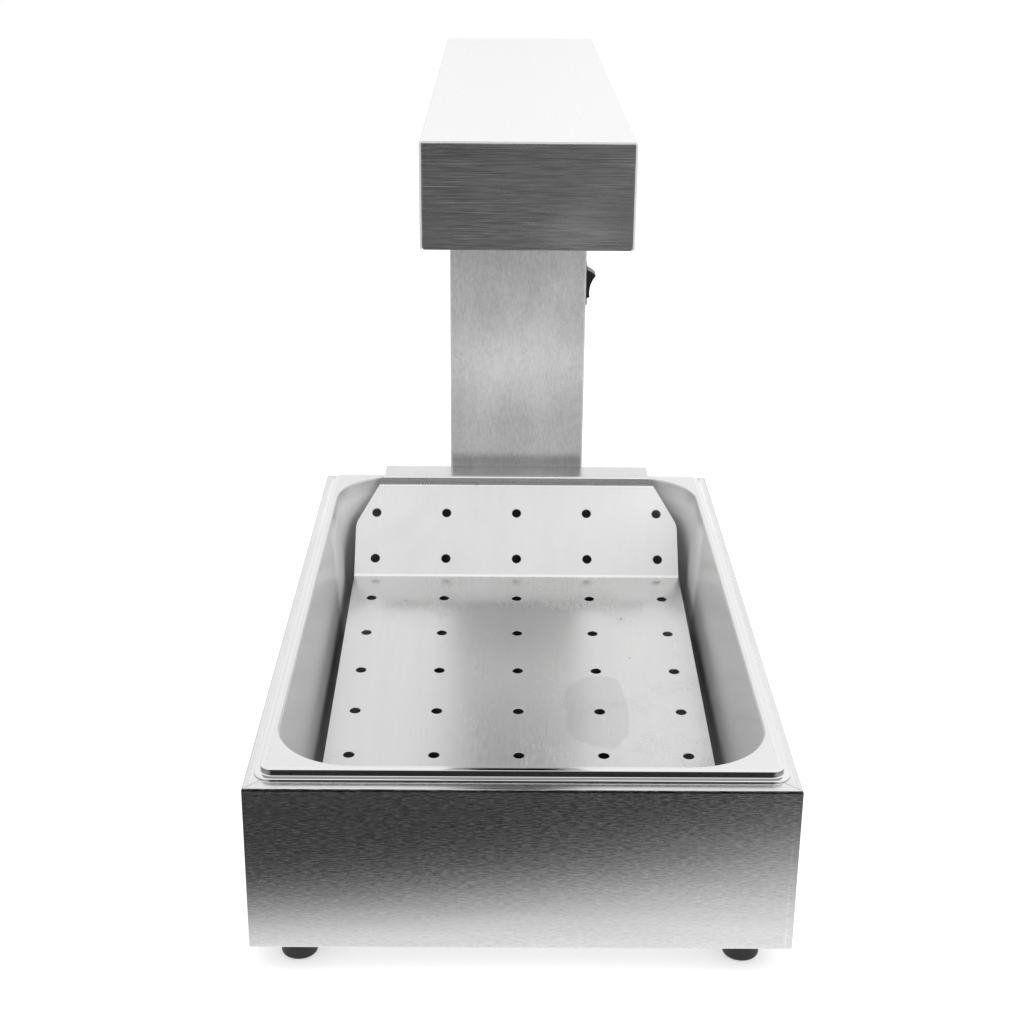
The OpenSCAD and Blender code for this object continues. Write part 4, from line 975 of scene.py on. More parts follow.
def bake(piece: bpy.types.Object) -> bpy.types.Object:
    """Turns a piece's modifiers into its plain mesh.

    Args:
        piece: the piece with its modifiers.

    Returns:
        The same piece.
    """
    bpy.context.view_layer.update()
    depsgraph = bpy.context.evaluated_depsgraph_get()
    mesh = bpy.data.meshes.new_from_object(piece.evaluated_get(depsgraph))
    mesh.name = piece.name
    piece.modifiers.clear()
    piece.data = mesh
    return piece


def finished(work: bmesh.types.BMesh, name: str) -> bpy.types.Mesh:
    """Turns a working mesh into a plain one and lets it go.

    Args:
        work: the working mesh.
        name: the plain mesh's name.

    Returns:
        The plain mesh.
    """
    mesh = bpy.data.meshes.new(name)
    work.to_mesh(mesh)
    work.free()
    return mesh


def welded_copy(node: str, name: str) -> bpy.types.Object:
    """Copies a CAD node's mesh with its triangles joined and its flat faces merged.

    Args:
        node: the CAD node.
        name: the new piece's name.

    Returns:
        The new piece.
    """
    work = bmesh.new()
    work.from_mesh(frame["nodes"][node].data)
    bmesh.ops.remove_doubles(work, verts=work.verts, dist=WELD)
    bmesh.ops.dissolve_degenerate(work, edges=work.edges, dist=SLIVER)
    bmesh.ops.dissolve_limit(work, angle_limit=math.radians(FLAT_DEG), verts=work.verts,
                             edges=work.edges, delimit={"NORMAL"})
    return new_piece(name, finished(work, name))


def rounded_outline(half_x: float, half_y: float, radius: float, steps: int) -> List[Point2]:
    """Points of a rectangle with round corners, starting at its +X side and turning left.

    Args:
        half_x: half of the size in X.
        half_y: half of the size in Y.
        radius: the corners' radius.
        steps: how many stretches each corner has.

    Returns:
        Four times steps + 1 points.
    """
    points = []
    for quarter, (sx, sy) in enumerate(((1, 1), (-1, 1), (-1, -1), (1, -1))):
        cx, cy = sx * (half_x - radius), sy * (half_y - radius)
        for i in range(steps + 1):
            a = math.radians(90 * (quarter + i / steps))
            points.append((cx + radius * math.cos(a), cy + radius * math.sin(a)))
    return points


def loft(name: str, rings: Sequence[Sequence[Point]]) -> bpy.types.Mesh:
    """Joins closed rings of points, each of the same count, into a mesh and fills the last ring.

    Args:
        name: the mesh's name.
        rings: the rings in order.

    Returns:
        The mesh, with its faces turned the same way.
    """
    work = bmesh.new()
    made = [[work.verts.new(p) for p in ring] for ring in rings]
    count = len(made[0])
    for lower, upper in zip(made, made[1:]):
        for i in range(count):
            j = (i + 1) % count
            work.faces.new((lower[i], lower[j], upper[j], upper[i]))
    work.faces.new(made[-1])
    bmesh.ops.recalc_face_normals(work, faces=work.faces)
    return finished(work, name)


def mark_inside(mesh: bpy.types.Mesh, inner: Iterable[Vector]) -> None:
    """Marks the points of a walled mesh that lie where its first surface had them.

    Args:
        mesh: the mesh with its wall.
        inner: where the first surface had its points.
    """

    def rounded(place: Vector) -> Point:
        """A place to the micrometre, so that equal places compare as equal."""
        return tuple(round(c, 6) for c in place)

    first = {rounded(place) for place in inner}
    mark = mesh.attributes.new(INSIDE, "FLOAT", "POINT")
    mark.data.foreach_set("value", [float(rounded(v.co) in first) for v in mesh.vertices])


def loose_parts(mesh: bpy.types.Mesh) -> List[List[Vector]]:
    """The corners of each separate solid in a mesh.

    Args:
        mesh: the mesh.

    Returns:
        A list of corners for each solid.
    """
    work = bmesh.new()
    work.from_mesh(mesh)
    bmesh.ops.remove_doubles(work, verts=work.verts, dist=WELD)
    seen, parts = set(), []
    for start in work.verts:
        if start in seen:
            continue
        stack, part = [start], []
        seen.add(start)
        while stack:
            v = stack.pop()
            part.append(v.co.copy())
            for e in v.link_edges:
                other = e.other_vert(v)
                if other not in seen:
                    seen.add(other)
                    stack.append(other)
        parts.append(part)
    work.free()
    return parts


# Dressing of whole nodes


class Dresser:
    """Gives pieces their material and body."""

    def __init__(self, shop: Shop) -> None:
        """Keeps the shop, and which body each node rides on."""
        self.shop = shop
        groups = frame["record"]["behaviour"]["bodies"]
        self.body_of = {n: body for body, members in groups.items() for n in members}

    def keep(self, node: str, finish: Finish) -> None:
        """Shows a CAD node as it is, with a finish.

        Args:
            node: the CAD node.
            finish: its finish.
        """
        shown = frame["nodes"][node]
        shown.data.materials.clear()
        shown.data.materials.append(self.shop.material(finish))
        LOG.info("%s keeps its own mesh, in %s", node, finish.name)

    def stand_in(self, piece: bpy.types.Object, nodes: Iterable[str], finish: Finish) -> bpy.types.Object:
        """Lets a piece stand for CAD nodes, on their body, in a finish.

        Args:
            piece: the piece.
            nodes: the CAD nodes that it replaces.
            finish: its finish.

        Returns:
            The same piece.
        """
        nodes = list(nodes)
        piece.data.materials.clear()
        piece.data.materials.append(self.shop.material(finish))
        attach(piece, self.body_of[nodes[0]])
        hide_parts(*nodes)
        LOG.info("%s stands for %s, in %s", piece.name, ", ".join(nodes), finish.name)
        return piece

    def soften(self, node: str, finish: Finish, width: float, segments: int = 2,
               limit_deg: float = 40.0) -> bpy.types.Object:
        """Replaces a node by a copy of it whose sharp edges are rounded.

        Args:
            node: the CAD node.
            finish: its finish.
            width: how far the rounding reaches.
            segments: how many faces the rounding has.
            limit_deg: the angle from which an edge counts as sharp.

        Returns:
            The new piece.
        """
        piece = welded_copy(node, node + "_dressed")
        smooth(piece.data, sharp_deg=50.0)
        bevel(piece, width, limit_deg, segments)
        bake(piece)
        return self.stand_in(piece, [node], finish)


# Geometry Nodes trees


class Recipe:
    """A Geometry Nodes tree with named inputs, run once on a piece and then removed."""

    def __init__(self, name: str) -> None:
        """Makes an empty tree with its geometry sockets.

        Args:
            name: the tree's name.
        """
        self.g = Graph(bpy.data.node_groups.new(name, "GeometryNodeTree"))
        self._ids: Dict[str, str] = {}
        self._ids["Geometry"] = socket(self.g.tree, "Geometry", "Geometry").identifier
        socket(self.g.tree, "Geometry", "Geometry", out=True)
        self.start = self.g.add("NodeGroupInput")
        self.end = self.g.add("NodeGroupOutput")

    def size(self, name: str, value: float = 0.0, kind: str = "Float") -> object:
        """Adds a named input and returns the socket that reads it."""
        made = socket(self.g.tree, name, kind, None if kind == "Material" else value)
        self._ids[name] = made.identifier
        return self.start.outputs[name]

    def node(self, kind: str, inputs: Optional[Dict] = None, **settings: object) -> bpy.types.Node:
        """Adds a geometry node. See Graph.add."""
        return self.g.add("GeometryNode" + kind, inputs, **settings)

    def moved(self, geometry: object, **how: object) -> object:
        """Moves, turns or scales a geometry, by values named as in Blender's Transform node."""
        return self.node("Transform", {"Geometry": geometry, **how}).outputs[0]

    def drum(self, sides: int, radius: object, depth: object) -> object:
        """A cylinder round Z, its middle at the origin."""
        made = self.node("MeshCylinder", {"Vertices": sides, "Radius": radius, "Depth": depth})
        return made.outputs["Mesh"]

    def ball(self, half_wide: object, half_high: object) -> object:
        """A ball drawn out to a half width and a half height."""
        made = self.node("MeshUVSphere",
                         {"Segments": BALL_SIDES, "Rings": BALL_SIDES // 2, "Radius": 1.0})
        return self.moved(made.outputs["Mesh"], Scale=self.g.joined(half_wide, half_wide, half_high))

    def common(self, first: object, second: object) -> object:
        """Keeps what two solids share."""
        made = self.node("MeshBoolean", {"Mesh": first}, operation="INTERSECT", solver="EXACT")
        self.g.feed(made.inputs["Mesh"], second)
        return made.outputs["Mesh"]

    def cut(self, solid: object, tool: object) -> object:
        """Takes a tool's shape out of a solid."""
        made = self.node("MeshBoolean", {"Mesh 1": solid}, operation="DIFFERENCE", solver="EXACT")
        self.g.feed(made.inputs["Mesh 2"], tool)
        return made.outputs["Mesh"]

    def together(self, *parts: object) -> object:
        """Joins geometries into one.

        Args:
            parts: the geometries.

        Returns:
            The joined geometry.
        """
        whole = self.node("JoinGeometry")
        for part in parts:
            self.g.feed(whole.inputs[0], part)
        return whole.outputs[0]

    def close(self, geometry: object) -> None:
        """Ends the tree: instances made real, smooth faces and the material.

        Args:
            geometry: what the tree has made.
        """
        real = self.node("RealizeInstances", {"Geometry": geometry})
        shaded = self.node("SetShadeSmooth", {"Geometry": real.outputs[0], "Shade Smooth": True})
        coat = self.node("SetMaterial", {"Geometry": shaded.outputs[0],
                                         "Material": self.size("Material", kind="Material")})
        self.g.feed(self.end.inputs["Geometry"], coat.outputs[0])

    def run(self, piece: bpy.types.Object, material: bpy.types.Material,
            **sizes: object) -> bpy.types.Object:
        """Runs the tree on a piece and leaves the plain mesh.

        Args:
            piece: the object whose mesh the tree starts from.
            material: what Set Material gives.
            sizes: the inputs' values. Underscores in their names stand for spaces.

        Returns:
            The same piece.
        """
        modifier = piece.modifiers.new("recipe", "NODES")
        modifier.node_group = self.g.tree
        modifier[self._ids["Material"]] = material
        for key, value in sizes.items():
            modifier[self._ids[key.replace("_", " ")]] = value
        bake(piece)
        smooth(piece.data, sharp_deg=30.0)
        return piece


def points_piece(name: str, points: Sequence[Point], axes: Sequence[Point]) -> bpy.types.Object:
    """A piece of loose points, each with the direction that its fastener's head faces.

    Args:
        name: the piece's name.
        points: where the fasteners go.
        axes: where each one's head faces.

    Returns:
        The new piece.
    """
    mesh = bpy.data.meshes.new(name)
    mesh.from_pydata([tuple(p) for p in points], [], [])
    facing = mesh.attributes.new(FACING, "FLOAT_VECTOR", "POINT")
    facing.data.foreach_set("vector", [c for a in axes for c in a])
    return new_piece(name, mesh)


class FastenerRecipes:
    """Trees that make every screw and nut, as instances on points."""

    dome_over = 1.12
    recess_long = 0.50
    recess_wide = 0.105
    recess_deep = 1.1
    recess_at = 0.95
    nut_round_over = 1.03
    nut_round_high = 1.15
    head_sides = 48
    shank_sides = 24
    nut_sides = 6
    bore_sides = 32

    def __init__(self) -> None:
        """Builds both trees."""
        self.screw = self._screw()
        self.nut = self._nut()

    @staticmethod
    def _place(r: Recipe, shape: object) -> None:
        """Puts a shape on every point, turned to its facing and spun at random about it.

        Args:
            r: the fastener's recipe.
            shape: its geometry, with the head facing +Z.
        """
        facing = r.node("InputNamedAttribute", {"Name": FACING}, data_type="FLOAT_VECTOR")
        turn = r.g.add("FunctionNodeAlignRotationToVector", {"Vector": facing.outputs[0]}, axis="Z")
        spin = r.g.add("FunctionNodeRandomValue", data_type="FLOAT")
        r.g.feed([s for s in spin.inputs if s.name == "Max" and s.type == "VALUE"][0], FULL_TURN)
        r.g.feed(spin.inputs["Seed"], r.size("Seed", 3, "Int"))
        angle = [s for s in spin.outputs if s.type == "VALUE"][0]
        both = r.g.add("FunctionNodeRotateRotation",
                       {"Rotation": turn.outputs[0], "Rotate By": r.g.joined(z=angle)},
                       rotation_space="LOCAL")
        put = r.node("InstanceOnPoints", {"Points": r.start.outputs["Geometry"], "Instance": shape,
                                          "Rotation": both.outputs[0]})
        r.close(put.outputs[0])

    def _screw(self) -> Recipe:
        """Pan-head screw: a domed head with a cross recess, and a round shank.

        Returns:
            The recipe, whose sizes are its named inputs.
        """
        r = Recipe("screw_row")
        g = r.g
        shank_d, shank_l = r.size("Shank diameter", 0.004), r.size("Shank length", 0.01)
        head_d, head_h = r.size("Head diameter", 0.008), r.size("Head height", 0.0026)
        head_r = g.math("DIVIDE", head_d, 2.0)
        drum = r.drum(self.head_sides, head_r, g.times(head_h, 2.0))
        lifted = r.moved(drum, Translation=g.joined(z=head_h))
        head = r.common(r.ball(g.times(head_r, self.dome_over), head_h), lifted)
        long, wide = g.times(head_d, self.recess_long), g.times(head_d, self.recess_wide)
        deep = g.times(head_h, self.recess_deep)
        for x, y in ((long, wide), (wide, long)):
            bar = r.node("MeshCube", {"Size": g.joined(x, y, deep)}).outputs["Mesh"]
            head = r.cut(head, r.moved(bar, Translation=g.joined(z=g.times(head_h, self.recess_at))))
        rod = r.drum(self.shank_sides, g.math("DIVIDE", shank_d, 2.0), shank_l)
        rod = r.moved(rod, Translation=g.joined(z=g.times(shank_l, -0.5)))
        self._place(r, r.together(head, rod))
        return r

    def _nut(self) -> Recipe:
        """Hexagon nut with chamfered corners and its bore.

        Returns:
            The recipe, whose sizes are its named inputs.
        """
        r = Recipe("nut_row")
        g = r.g
        across, height = r.size("Corner diameter", 0.008), r.size("Nut height", 0.003)
        bore = r.size("Bore diameter", 0.004)
        radius = g.math("DIVIDE", across, 2.0)
        lens = r.ball(g.times(radius, self.nut_round_over), g.times(height, self.nut_round_high))
        body = r.common(r.drum(self.nut_sides, radius, height), lens)
        hole = r.drum(self.bore_sides, g.math("DIVIDE", bore, 2.0), g.times(height, 2.0))
        self._place(r, r.cut(body, hole))
        return r


@dataclass
class Fasteners:
    """Rows of like screws and nuts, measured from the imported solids."""

    dresser: Dresser
    recipes: FastenerRecipes = field(default_factory=FastenerRecipes)
    head_share: float = 0.65
    nut_share: float = 0.995

    @staticmethod
    def _measure(node: str, axis: Axis) -> Tuple[List[Vector], List[Vector], float, float]:
        """Finds where a node's solids stand.

        Args:
            node: the CAD node.
            axis: where the heads face. OUTWARD turns with the side that a solid is on.

        Returns:
            The points furthest along the axis on each solid's middle line, the axes, the solids' width
            across the axis and their length along it.
        """
        points, axes, width, length = [], [], 0.0, 0.0
        for part in loose_parts(frame["nodes"][node].data):
            low = Vector(min(v[i] for v in part) for i in range(3))
            high = Vector(max(v[i] for v in part) for i in range(3))
            middle = (low + high) / 2
            facing = Vector(axis.value)
            if axis is Axis.OUTWARD:
                facing.x = math.copysign(1.0, middle.x)
            span = high - low
            length = abs(span.dot(facing))
            width = max(abs(span[i]) for i in range(3) if abs(facing[i]) < 0.5)
            points.append(middle + facing * length / 2)
            axes.append(facing)
        return points, axes, width, length

    def screws(self, node: str, axis: Axis, shank: float, finish: Finish) -> bpy.types.Object:
        """Replaces a node of pan-head screws.

        Args:
            node: the CAD node.
            axis: where the heads face.
            shank: the thread's diameter.
            finish: the screws' finish.

        Returns:
            The new piece.
        """
        tips, axes, width, length = self._measure(node, axis)
        head_h = self.head_share * shank
        seats = [t - a * head_h for t, a in zip(tips, axes)]
        piece = points_piece(node + "_detailed", seats, axes)
        self.recipes.screw.run(piece, self.dresser.shop.material(finish), Shank_diameter=shank,
                               Shank_length=length - head_h, Head_diameter=width, Head_height=head_h)
        return self.dresser.stand_in(piece, [node], finish)

    def nuts(self, node: str, axis: Axis, bore: float, finish: Finish) -> bpy.types.Object:
        """Replaces a node of hexagon nuts. See screws for the arguments."""
        tips, axes, width, length = self._measure(node, axis)
        centres = [t - a * length / 2 for t, a in zip(tips, axes)]
        piece = points_piece(node + "_detailed", centres, axes)
        self.recipes.nut.run(piece, self.dresser.shop.material(finish),
                             Corner_diameter=width * self.nut_share, Nut_height=length,
                             Bore_diameter=bore)
        return self.dresser.stand_in(piece, [node], finish)


# Sub-assemblies


@dataclass
class Base:
    """The folded base with its bottom plate, feet and fasteners."""

    dresser: Dresser
    fasteners: Fasteners
    finishes: Finishes
    shell_edge: float = 0.35 * MM
    plate_edge: float = 0.2 * MM
    foot_edge: float = 0.5 * MM

    def build(self) -> None:
        """Makes and dresses every piece of the base."""
        d, f = self.dresser, self.finishes
        d.soften("base_shell", f.base, self.shell_edge)
        d.soften("base_bottom_plate", f.plate, self.plate_edge)
        for end in ("front", "rear"):
            for side in ("left", "right"):
                d.soften(f"foot_{end}_{side}", f.rubber, self.foot_edge, 3)
        self.fasteners.screws("bottom_plate_screws", Axis.DOWN, M3, f.zinc)
        self.fasteners.screws("foot_screws", Axis.DOWN, M4, f.zinc)
        self.fasteners.nuts("foot_nuts", Axis.UP, M4, f.zinc)


@dataclass
class Pan:
    """The drawn gastronorm pan, as rings of its section swept round its plan."""

    dresser: Dresser
    finishes: Finishes
    sheet: float = 0.8 * MM
    flat: float = 6.3 * MM
    ledge: float = 4.0 * MM
    rise: float = 5.8 * MM
    ledge_rise: float = 1.4 * MM
    step_r: float = 0.8 * MM
    lip_r: float = 1.6 * MM
    corner_r: float = 50 * MM
    outer_r: float = 12 * MM
    least_r: float = 2 * MM
    floor_r: float = 12 * MM
    draft_deg: float = 4.5
    seat: float = 0.2 * MM
    corner_steps: int = 20
    step_steps: int = 4
    lip_steps: int = 6
    wall_steps: int = 4
    floor_steps: int = 8

    def _profile(self, depth: float) -> List[Tuple[float, float, float]]:
        """The visible side's section.

        Args:
            depth: from the rim's top to the pan's bottom, inside.

        Returns:
            For each ring, how far in from the rim's outer edge it runs, its height under the rim's top,
            and its corners' radius.
        """
        rim = self.flat + self.ledge
        round_r = self.step_r
        rows: List[Tuple[float, float, float]] = []

        def arc(cx: float, cy: float, r: float, a0: float, a1: float,
                radius: Callable[[float], float], n: int) -> None:
            """Adds an arc of the section, from angle a0 to a1.

            Args:
                cx: how far in from the rim's edge the centre lies.
                cy: the centre's height under the rim's top.
                r: the arc's radius.
                a0: the first angle, in degrees.
                a1: the last one.
                radius: gives a ring's corner radius for its inset.
                n: how many steps the arc has.
            """
            for i in range(n + 1):
                a = math.radians(a0 + (a1 - a0) * i / n)
                inset, z = cx + r * math.cos(a), cy + r * math.sin(a)
                rows.append((inset, z, radius(inset)))

        def outer(inset: float) -> float:
            """The corner radius of a ring on the rim."""
            return max(self.outer_r - inset, self.least_r)

        def inner(inset: float) -> float:
            """The corner radius of a ring within the rim."""
            return self.corner_r - (inset - rim)

        ledge_z = self.ledge_rise - self.rise
        rows.append((0.0, self.seat - self.rise, outer(0.0)))
        arc(round_r, ledge_z - round_r, round_r, 180, 90, outer, self.step_steps)
        arc(self.ledge - round_r, ledge_z + round_r, round_r, 270, 360, outer, self.step_steps)
        arc(self.ledge + round_r, -round_r, round_r, 180, 90, outer, self.step_steps)
        slope = math.radians(self.draft_deg)
        arc(rim - self.lip_r, -self.lip_r, self.lip_r, 90, self.draft_deg, inner, self.lip_steps)
        wall_x, wall_z = rows[-1][0], rows[-1][1]
        fillet_top_z = -depth + self.floor_r * (1 - math.sin(slope))
        fillet_top_x = wall_x + (wall_z - fillet_top_z) * math.tan(slope)
        for i in range(1, self.wall_steps):
            t = i / self.wall_steps
            x = wall_x + (fillet_top_x - wall_x) * t
            rows.append((x, wall_z + (fillet_top_z - wall_z) * t, inner(x)))
        centre_x = fillet_top_x + self.floor_r * math.cos(slope)
        arc(centre_x, self.floor_r - depth, self.floor_r, 180 + self.draft_deg, 270, inner,
            self.floor_steps)
        return rows

    def build(self) -> None:
        """Makes and dresses the pan."""
        low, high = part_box("food_pan")
        middle = (low + high) / 2
        half = (high - low) / 2
        depth = (high.z - low.z) - self.sheet
        rings = []
        for inset, z, radius in self._profile(depth):
            outline = rounded_outline(half.x - inset, half.y - inset, radius, self.corner_steps)
            rings.append([(middle.x + x, middle.y + y, high.z + z) for x, y in outline])
        mesh = loft("food_pan_drawn", rings)
        inner = [v.co.copy() for v in mesh.vertices]
        piece = new_piece("food_pan_drawn", mesh)
        wall = piece.modifiers.new("sheet", "SOLIDIFY")
        wall.thickness = self.sheet
        wall.offset = -1.0
        bake(piece)
        mark_inside(piece.data, inner)
        smooth(piece.data, sharp_deg=45.0)
        self.dresser.stand_in(piece, ["food_pan"], self.finishes.pan)


class DrainRecipe:
    """The tree that pierces the insert's sheet with rows of drain holes."""

    sides = 40
    flare_under = 0.97

    def __init__(self) -> None:
        """Builds the tree."""
        r = Recipe("drain_holes")
        g = r.g
        hole = g.math("DIVIDE", r.size("Hole diameter", 0.008), 2.0)
        pitch, columns = r.size("Column pitch", 0.06), r.size("Columns", 5, "Int")
        rim, reach = r.size("Rim rounding", 0.0003), r.size("Cutter length", 0.01)
        drill = r.drum(self.sides, hole, reach)
        flare = r.node("MeshCone", {"Vertices": self.sides, "Depth": g.times(rim, 2.0),
                                    "Radius Bottom": g.times(hole, self.flare_under),
                                    "Radius Top": g.plus(hole, g.times(rim, 2.0))})
        flare = r.moved(flare.outputs["Mesh"], Translation=g.joined(z=g.times(rim, -1.0)))
        tools = []
        for part in ("Panel", "Floor"):
            rows, row_pitch = r.size(part + " rows", 2, "Int"), r.size(part + " row pitch", 0.04)
            start, tilt = (r.size(f"{part} {word}", ORIGIN, "Vector") for word in ("start", "tilt"))
            wide = g.times(pitch, g.minus(columns, 1.0))
            long = g.times(row_pitch, g.minus(rows, 1.0))
            grid = r.node("MeshGrid", {"Size X": wide, "Size Y": long, "Vertices X": columns,
                                       "Vertices Y": rows})
            slid = r.moved(grid.outputs["Mesh"], Translation=g.joined(y=g.times(long, -0.5)))
            for tool in (drill, flare):
                put = r.node("InstanceOnPoints", {"Points": slid, "Instance": tool})
                turned = r.moved(put.outputs[0], Translation=start, Rotation=tilt)
                tools.append(r.node("RealizeInstances", {"Geometry": turned}).outputs[0])
        sheet = r.start.outputs["Geometry"]
        for tool in tools:
            sheet = r.cut(sheet, tool)
        r.close(sheet)
        self.recipe = r


@dataclass
class DrainInsert:
    """The bent and pierced sheet that hangs in the pan."""

    dresser: Dresser
    finishes: Finishes
    sheet: float = 1.0 * MM
    bend_r: float = 1.0 * MM
    flange_w: float = 229.5 * MM
    flange_d: float = 29.0 * MM
    drop: float = 7.9 * MM
    panel: float = 84.3 * MM
    lean_deg: float = 42.6
    shoulder: float = 36.6 * MM
    shoulder_r: float = 16.0 * MM
    corner_r: float = 36.2 * MM
    foot_drop: float = 9.8 * MM
    hole: float = 8.0 * MM
    hole_edge: float = 0.3 * MM
    cutter: float = 8.0 * MM
    columns: int = 5
    column_pitch: float = 60.5 * MM
    panel_start: float = 26.0 * MM
    panel_pitch: float = 42.0 * MM
    panel_rows: int = 2
    floor_start: float = 38.9 * MM
    floor_pitch: float = 59.0 * MM
    floor_rows: int = 7
    station: float = 4.0 * MM
    front_bunching: float = 1.6
    bend_steps: int = 7
    strips: int = 24

    def _path(self) -> List[Vector]:
        """Corners of the side section's visible face, from the back foot forwards.

        Returns:
            Points whose x is the frame's Y and whose y is its Z.
        """
        low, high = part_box("drain_insert")
        lean = math.radians(self.lean_deg)
        lip_y = high.y - self.flange_d
        lip_z = high.z - self.drop
        bend = Vector((lip_y - self.panel * math.sin(lean), lip_z - self.panel * math.cos(lean)))
        return [
            Vector((high.y, high.z - self.foot_drop)), Vector((high.y, high.z)), Vector((lip_y, high.z)),
            Vector((lip_y, lip_z)), bend, Vector((low.y, low.z + self.sheet)),
        ]

    def _half_width(self, s: float, total: float) -> float:
        """Half of the sheet's width at a station.

        Args:
            s: the distance along the sheet from the flange's front edge, less than zero behind it.
            total: the distance to the front end.

        Returns:
            The half width.
        """
        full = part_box("drain_insert")[1].x
        narrow = self.flange_w / 2
        if s <= 0:
            return narrow
        foot = self.drop + self.shoulder
        width = narrow + (full - narrow) * min(s / foot, 1.0)
        rate = (full - narrow) / foot
        bend = math.atan(rate)
        run = self.shoulder_r * math.tan(bend / 2)
        if foot - run * math.cos(bend) < s < foot + run:
            past = (foot + run) - s
            width = full - (self.shoulder_r - math.sqrt(max(self.shoulder_r ** 2 - past ** 2, 0.0)))
        left = total - s
        if left < self.corner_r:
            width -= self.corner_r - math.sqrt(max(self.corner_r ** 2 - (self.corner_r - left) ** 2, 0.0))
        return width

    def _stations(self) -> List[Tuple[Vector, Vector, float]]:
        """Places along the bent section: the point, the sheet's outward side and the distance s.

        Returns:
            The stations in order. Behind the flange's front edge, s is -1.
        """
        path = self._path()
        raw: List[Tuple[Vector, Vector]] = []
        for i in range(len(path) - 1):
            ahead = (path[i + 1] - path[i]).normalized()
            side = Vector((ahead.y, -ahead.x))
            length = (path[i + 1] - path[i]).length
            before = self._trim(path, i)
            after = self._trim(path, i + 1)
            count = max(int((length - before - after) / self.station), 2)
            if i == len(path) - 2:
                count *= 2
            for k in range(count + 1):
                share = k / count
                if i == len(path) - 2:
                    share = 1 - (1 - share) ** self.front_bunching
                raw.append((path[i] + ahead * (before + (length - before - after) * share), side))
            if i < len(path) - 2:
                raw.extend(self._bend(path, i + 1))
        made, s = [], 0.0
        start = next(i for i, (p, _) in enumerate(raw) if p.x <= path[2].x + self.bend_r + self.sheet)
        for i, (point, side) in enumerate(raw):
            if i > start:
                s += (point - raw[i - 1][0]).length
            made.append((point, side, s if i >= start else -1.0))
        return made

    def _radius(self, path: List[Vector], i: int) -> Tuple[float, float]:
        """The visible face's radius at a corner of the path, and the signed turn there.

        Args:
            path: the corners of the side section.
            i: the corner's number in the path.

        Returns:
            The radius and the turn, in radians.
        """
        first = (path[i] - path[i - 1]).normalized()
        second = (path[i + 1] - path[i]).normalized()
        turn = math.atan2(first.x * second.y - first.y * second.x, first.dot(second))
        return (self.bend_r + self.sheet if turn > 0 else self.bend_r), turn

    def _trim(self, path: List[Vector], i: int) -> float:
        """How much of a straight its round corner takes.

        Args:
            path: the corners of the side section.
            i: the corner's number in the path.

        Returns:
            The length, which is zero at the path's ends.
        """
        if i in (0, len(path) - 1):
            return 0.0
        radius, turn = self._radius(path, i)
        return radius * math.tan(abs(turn) / 2)

    def _bend(self, path: List[Vector], i: int) -> List[Tuple[Vector, Vector]]:
        """Stations round one corner of the path.

        Args:
            path: the corners of the side section.
            i: the corner's number in the path.

        Returns:
            Each station's point and the sheet's outward side there.
        """
        radius, turn = self._radius(path, i)
        sign = math.copysign(1.0, turn)
        first = (path[i] - path[i - 1]).normalized()
        start = path[i] - first * self._trim(path, i)
        centre = start + Vector((-first.y, first.x)) * sign * radius
        made = []
        for k in range(1, self.bend_steps):
            a = turn * k / self.bend_steps
            ahead = Vector((first.x * math.cos(a) - first.y * math.sin(a),
                            first.x * math.sin(a) + first.y * math.cos(a)))
            left = Vector((-ahead.y, ahead.x))
            made.append((centre - left * sign * radius, -left))
        return made

    def _bent(self) -> bpy.types.Mesh:
        """The bent sheet without its holes: its two sides and the faces round its edge.

        Returns:
            The mesh.
        """
        stations = self._stations()
        total = stations[-1][2]
        across = self.strips
        work = bmesh.new()
        layers = []
        for depth in (0.0, self.sheet):
            rows = []
            for point, side, s in stations:
                half = self._half_width(s, total)
                spot = point - side * depth
                rows.append([work.verts.new((half * (2 * k / across - 1), spot.x, spot.y))
                             for k in range(across + 1)])
            layers.append(rows)
        top, under = layers
        last = len(top) - 1
        for i in range(last):
            for k in range(across):
                work.faces.new((top[i][k], top[i][k + 1], top[i + 1][k + 1], top[i + 1][k]))
                work.faces.new((under[i + 1][k], under[i + 1][k + 1], under[i][k + 1], under[i][k]))
            for k, flip in ((0, False), (across, True)):
                loop = (top[i][k], top[i + 1][k], under[i + 1][k], under[i][k])
                work.faces.new(tuple(reversed(loop)) if flip else loop)
        for i, flip in ((0, True), (last, False)):
            for k in range(across):
                loop = (top[i][k], top[i][k + 1], under[i][k + 1], under[i][k])
                work.faces.new(tuple(reversed(loop)) if flip else loop)
        bmesh.ops.recalc_face_normals(work, faces=work.faces)
        return finished(work, "drain_insert_bent")

    def _pierce(self, piece: bpy.types.Object) -> None:
        """Cuts the drain holes.

        Args:
            piece: the bent sheet.
        """
        path = self._path()
        sizes = {}
        for part, i, start, pitch, count in (
            ("Panel", 3, self.panel_start, self.panel_pitch, self.panel_rows),
            ("Floor", 4, self.floor_start, self.floor_pitch, self.floor_rows),
        ):
            ahead = (path[i + 1] - path[i]).normalized()
            first = path[i] + ahead * start
            sizes[part + " start"] = (0.0, first.x, first.y)
            sizes[part + " tilt"] = (math.atan2(-ahead.y, -ahead.x), 0.0, 0.0)
            sizes[part + " row pitch"] = pitch
            sizes[part + " rows"] = count
        DrainRecipe().recipe.run(
            piece, self.dresser.shop.material(self.finishes.insert),
            Hole_diameter=self.hole, Column_pitch=self.column_pitch, Columns=self.columns,
            Rim_rounding=self.hole_edge, Cutter_length=self.cutter, **sizes,
        )

    def build(self) -> None:
        """Bends, pierces and dresses the sheet."""
        piece = new_piece("drain_insert_bent", self._bent())
        self._pierce(piece)
        self.dresser.stand_in(piece, ["drain_insert"], self.finishes.insert)


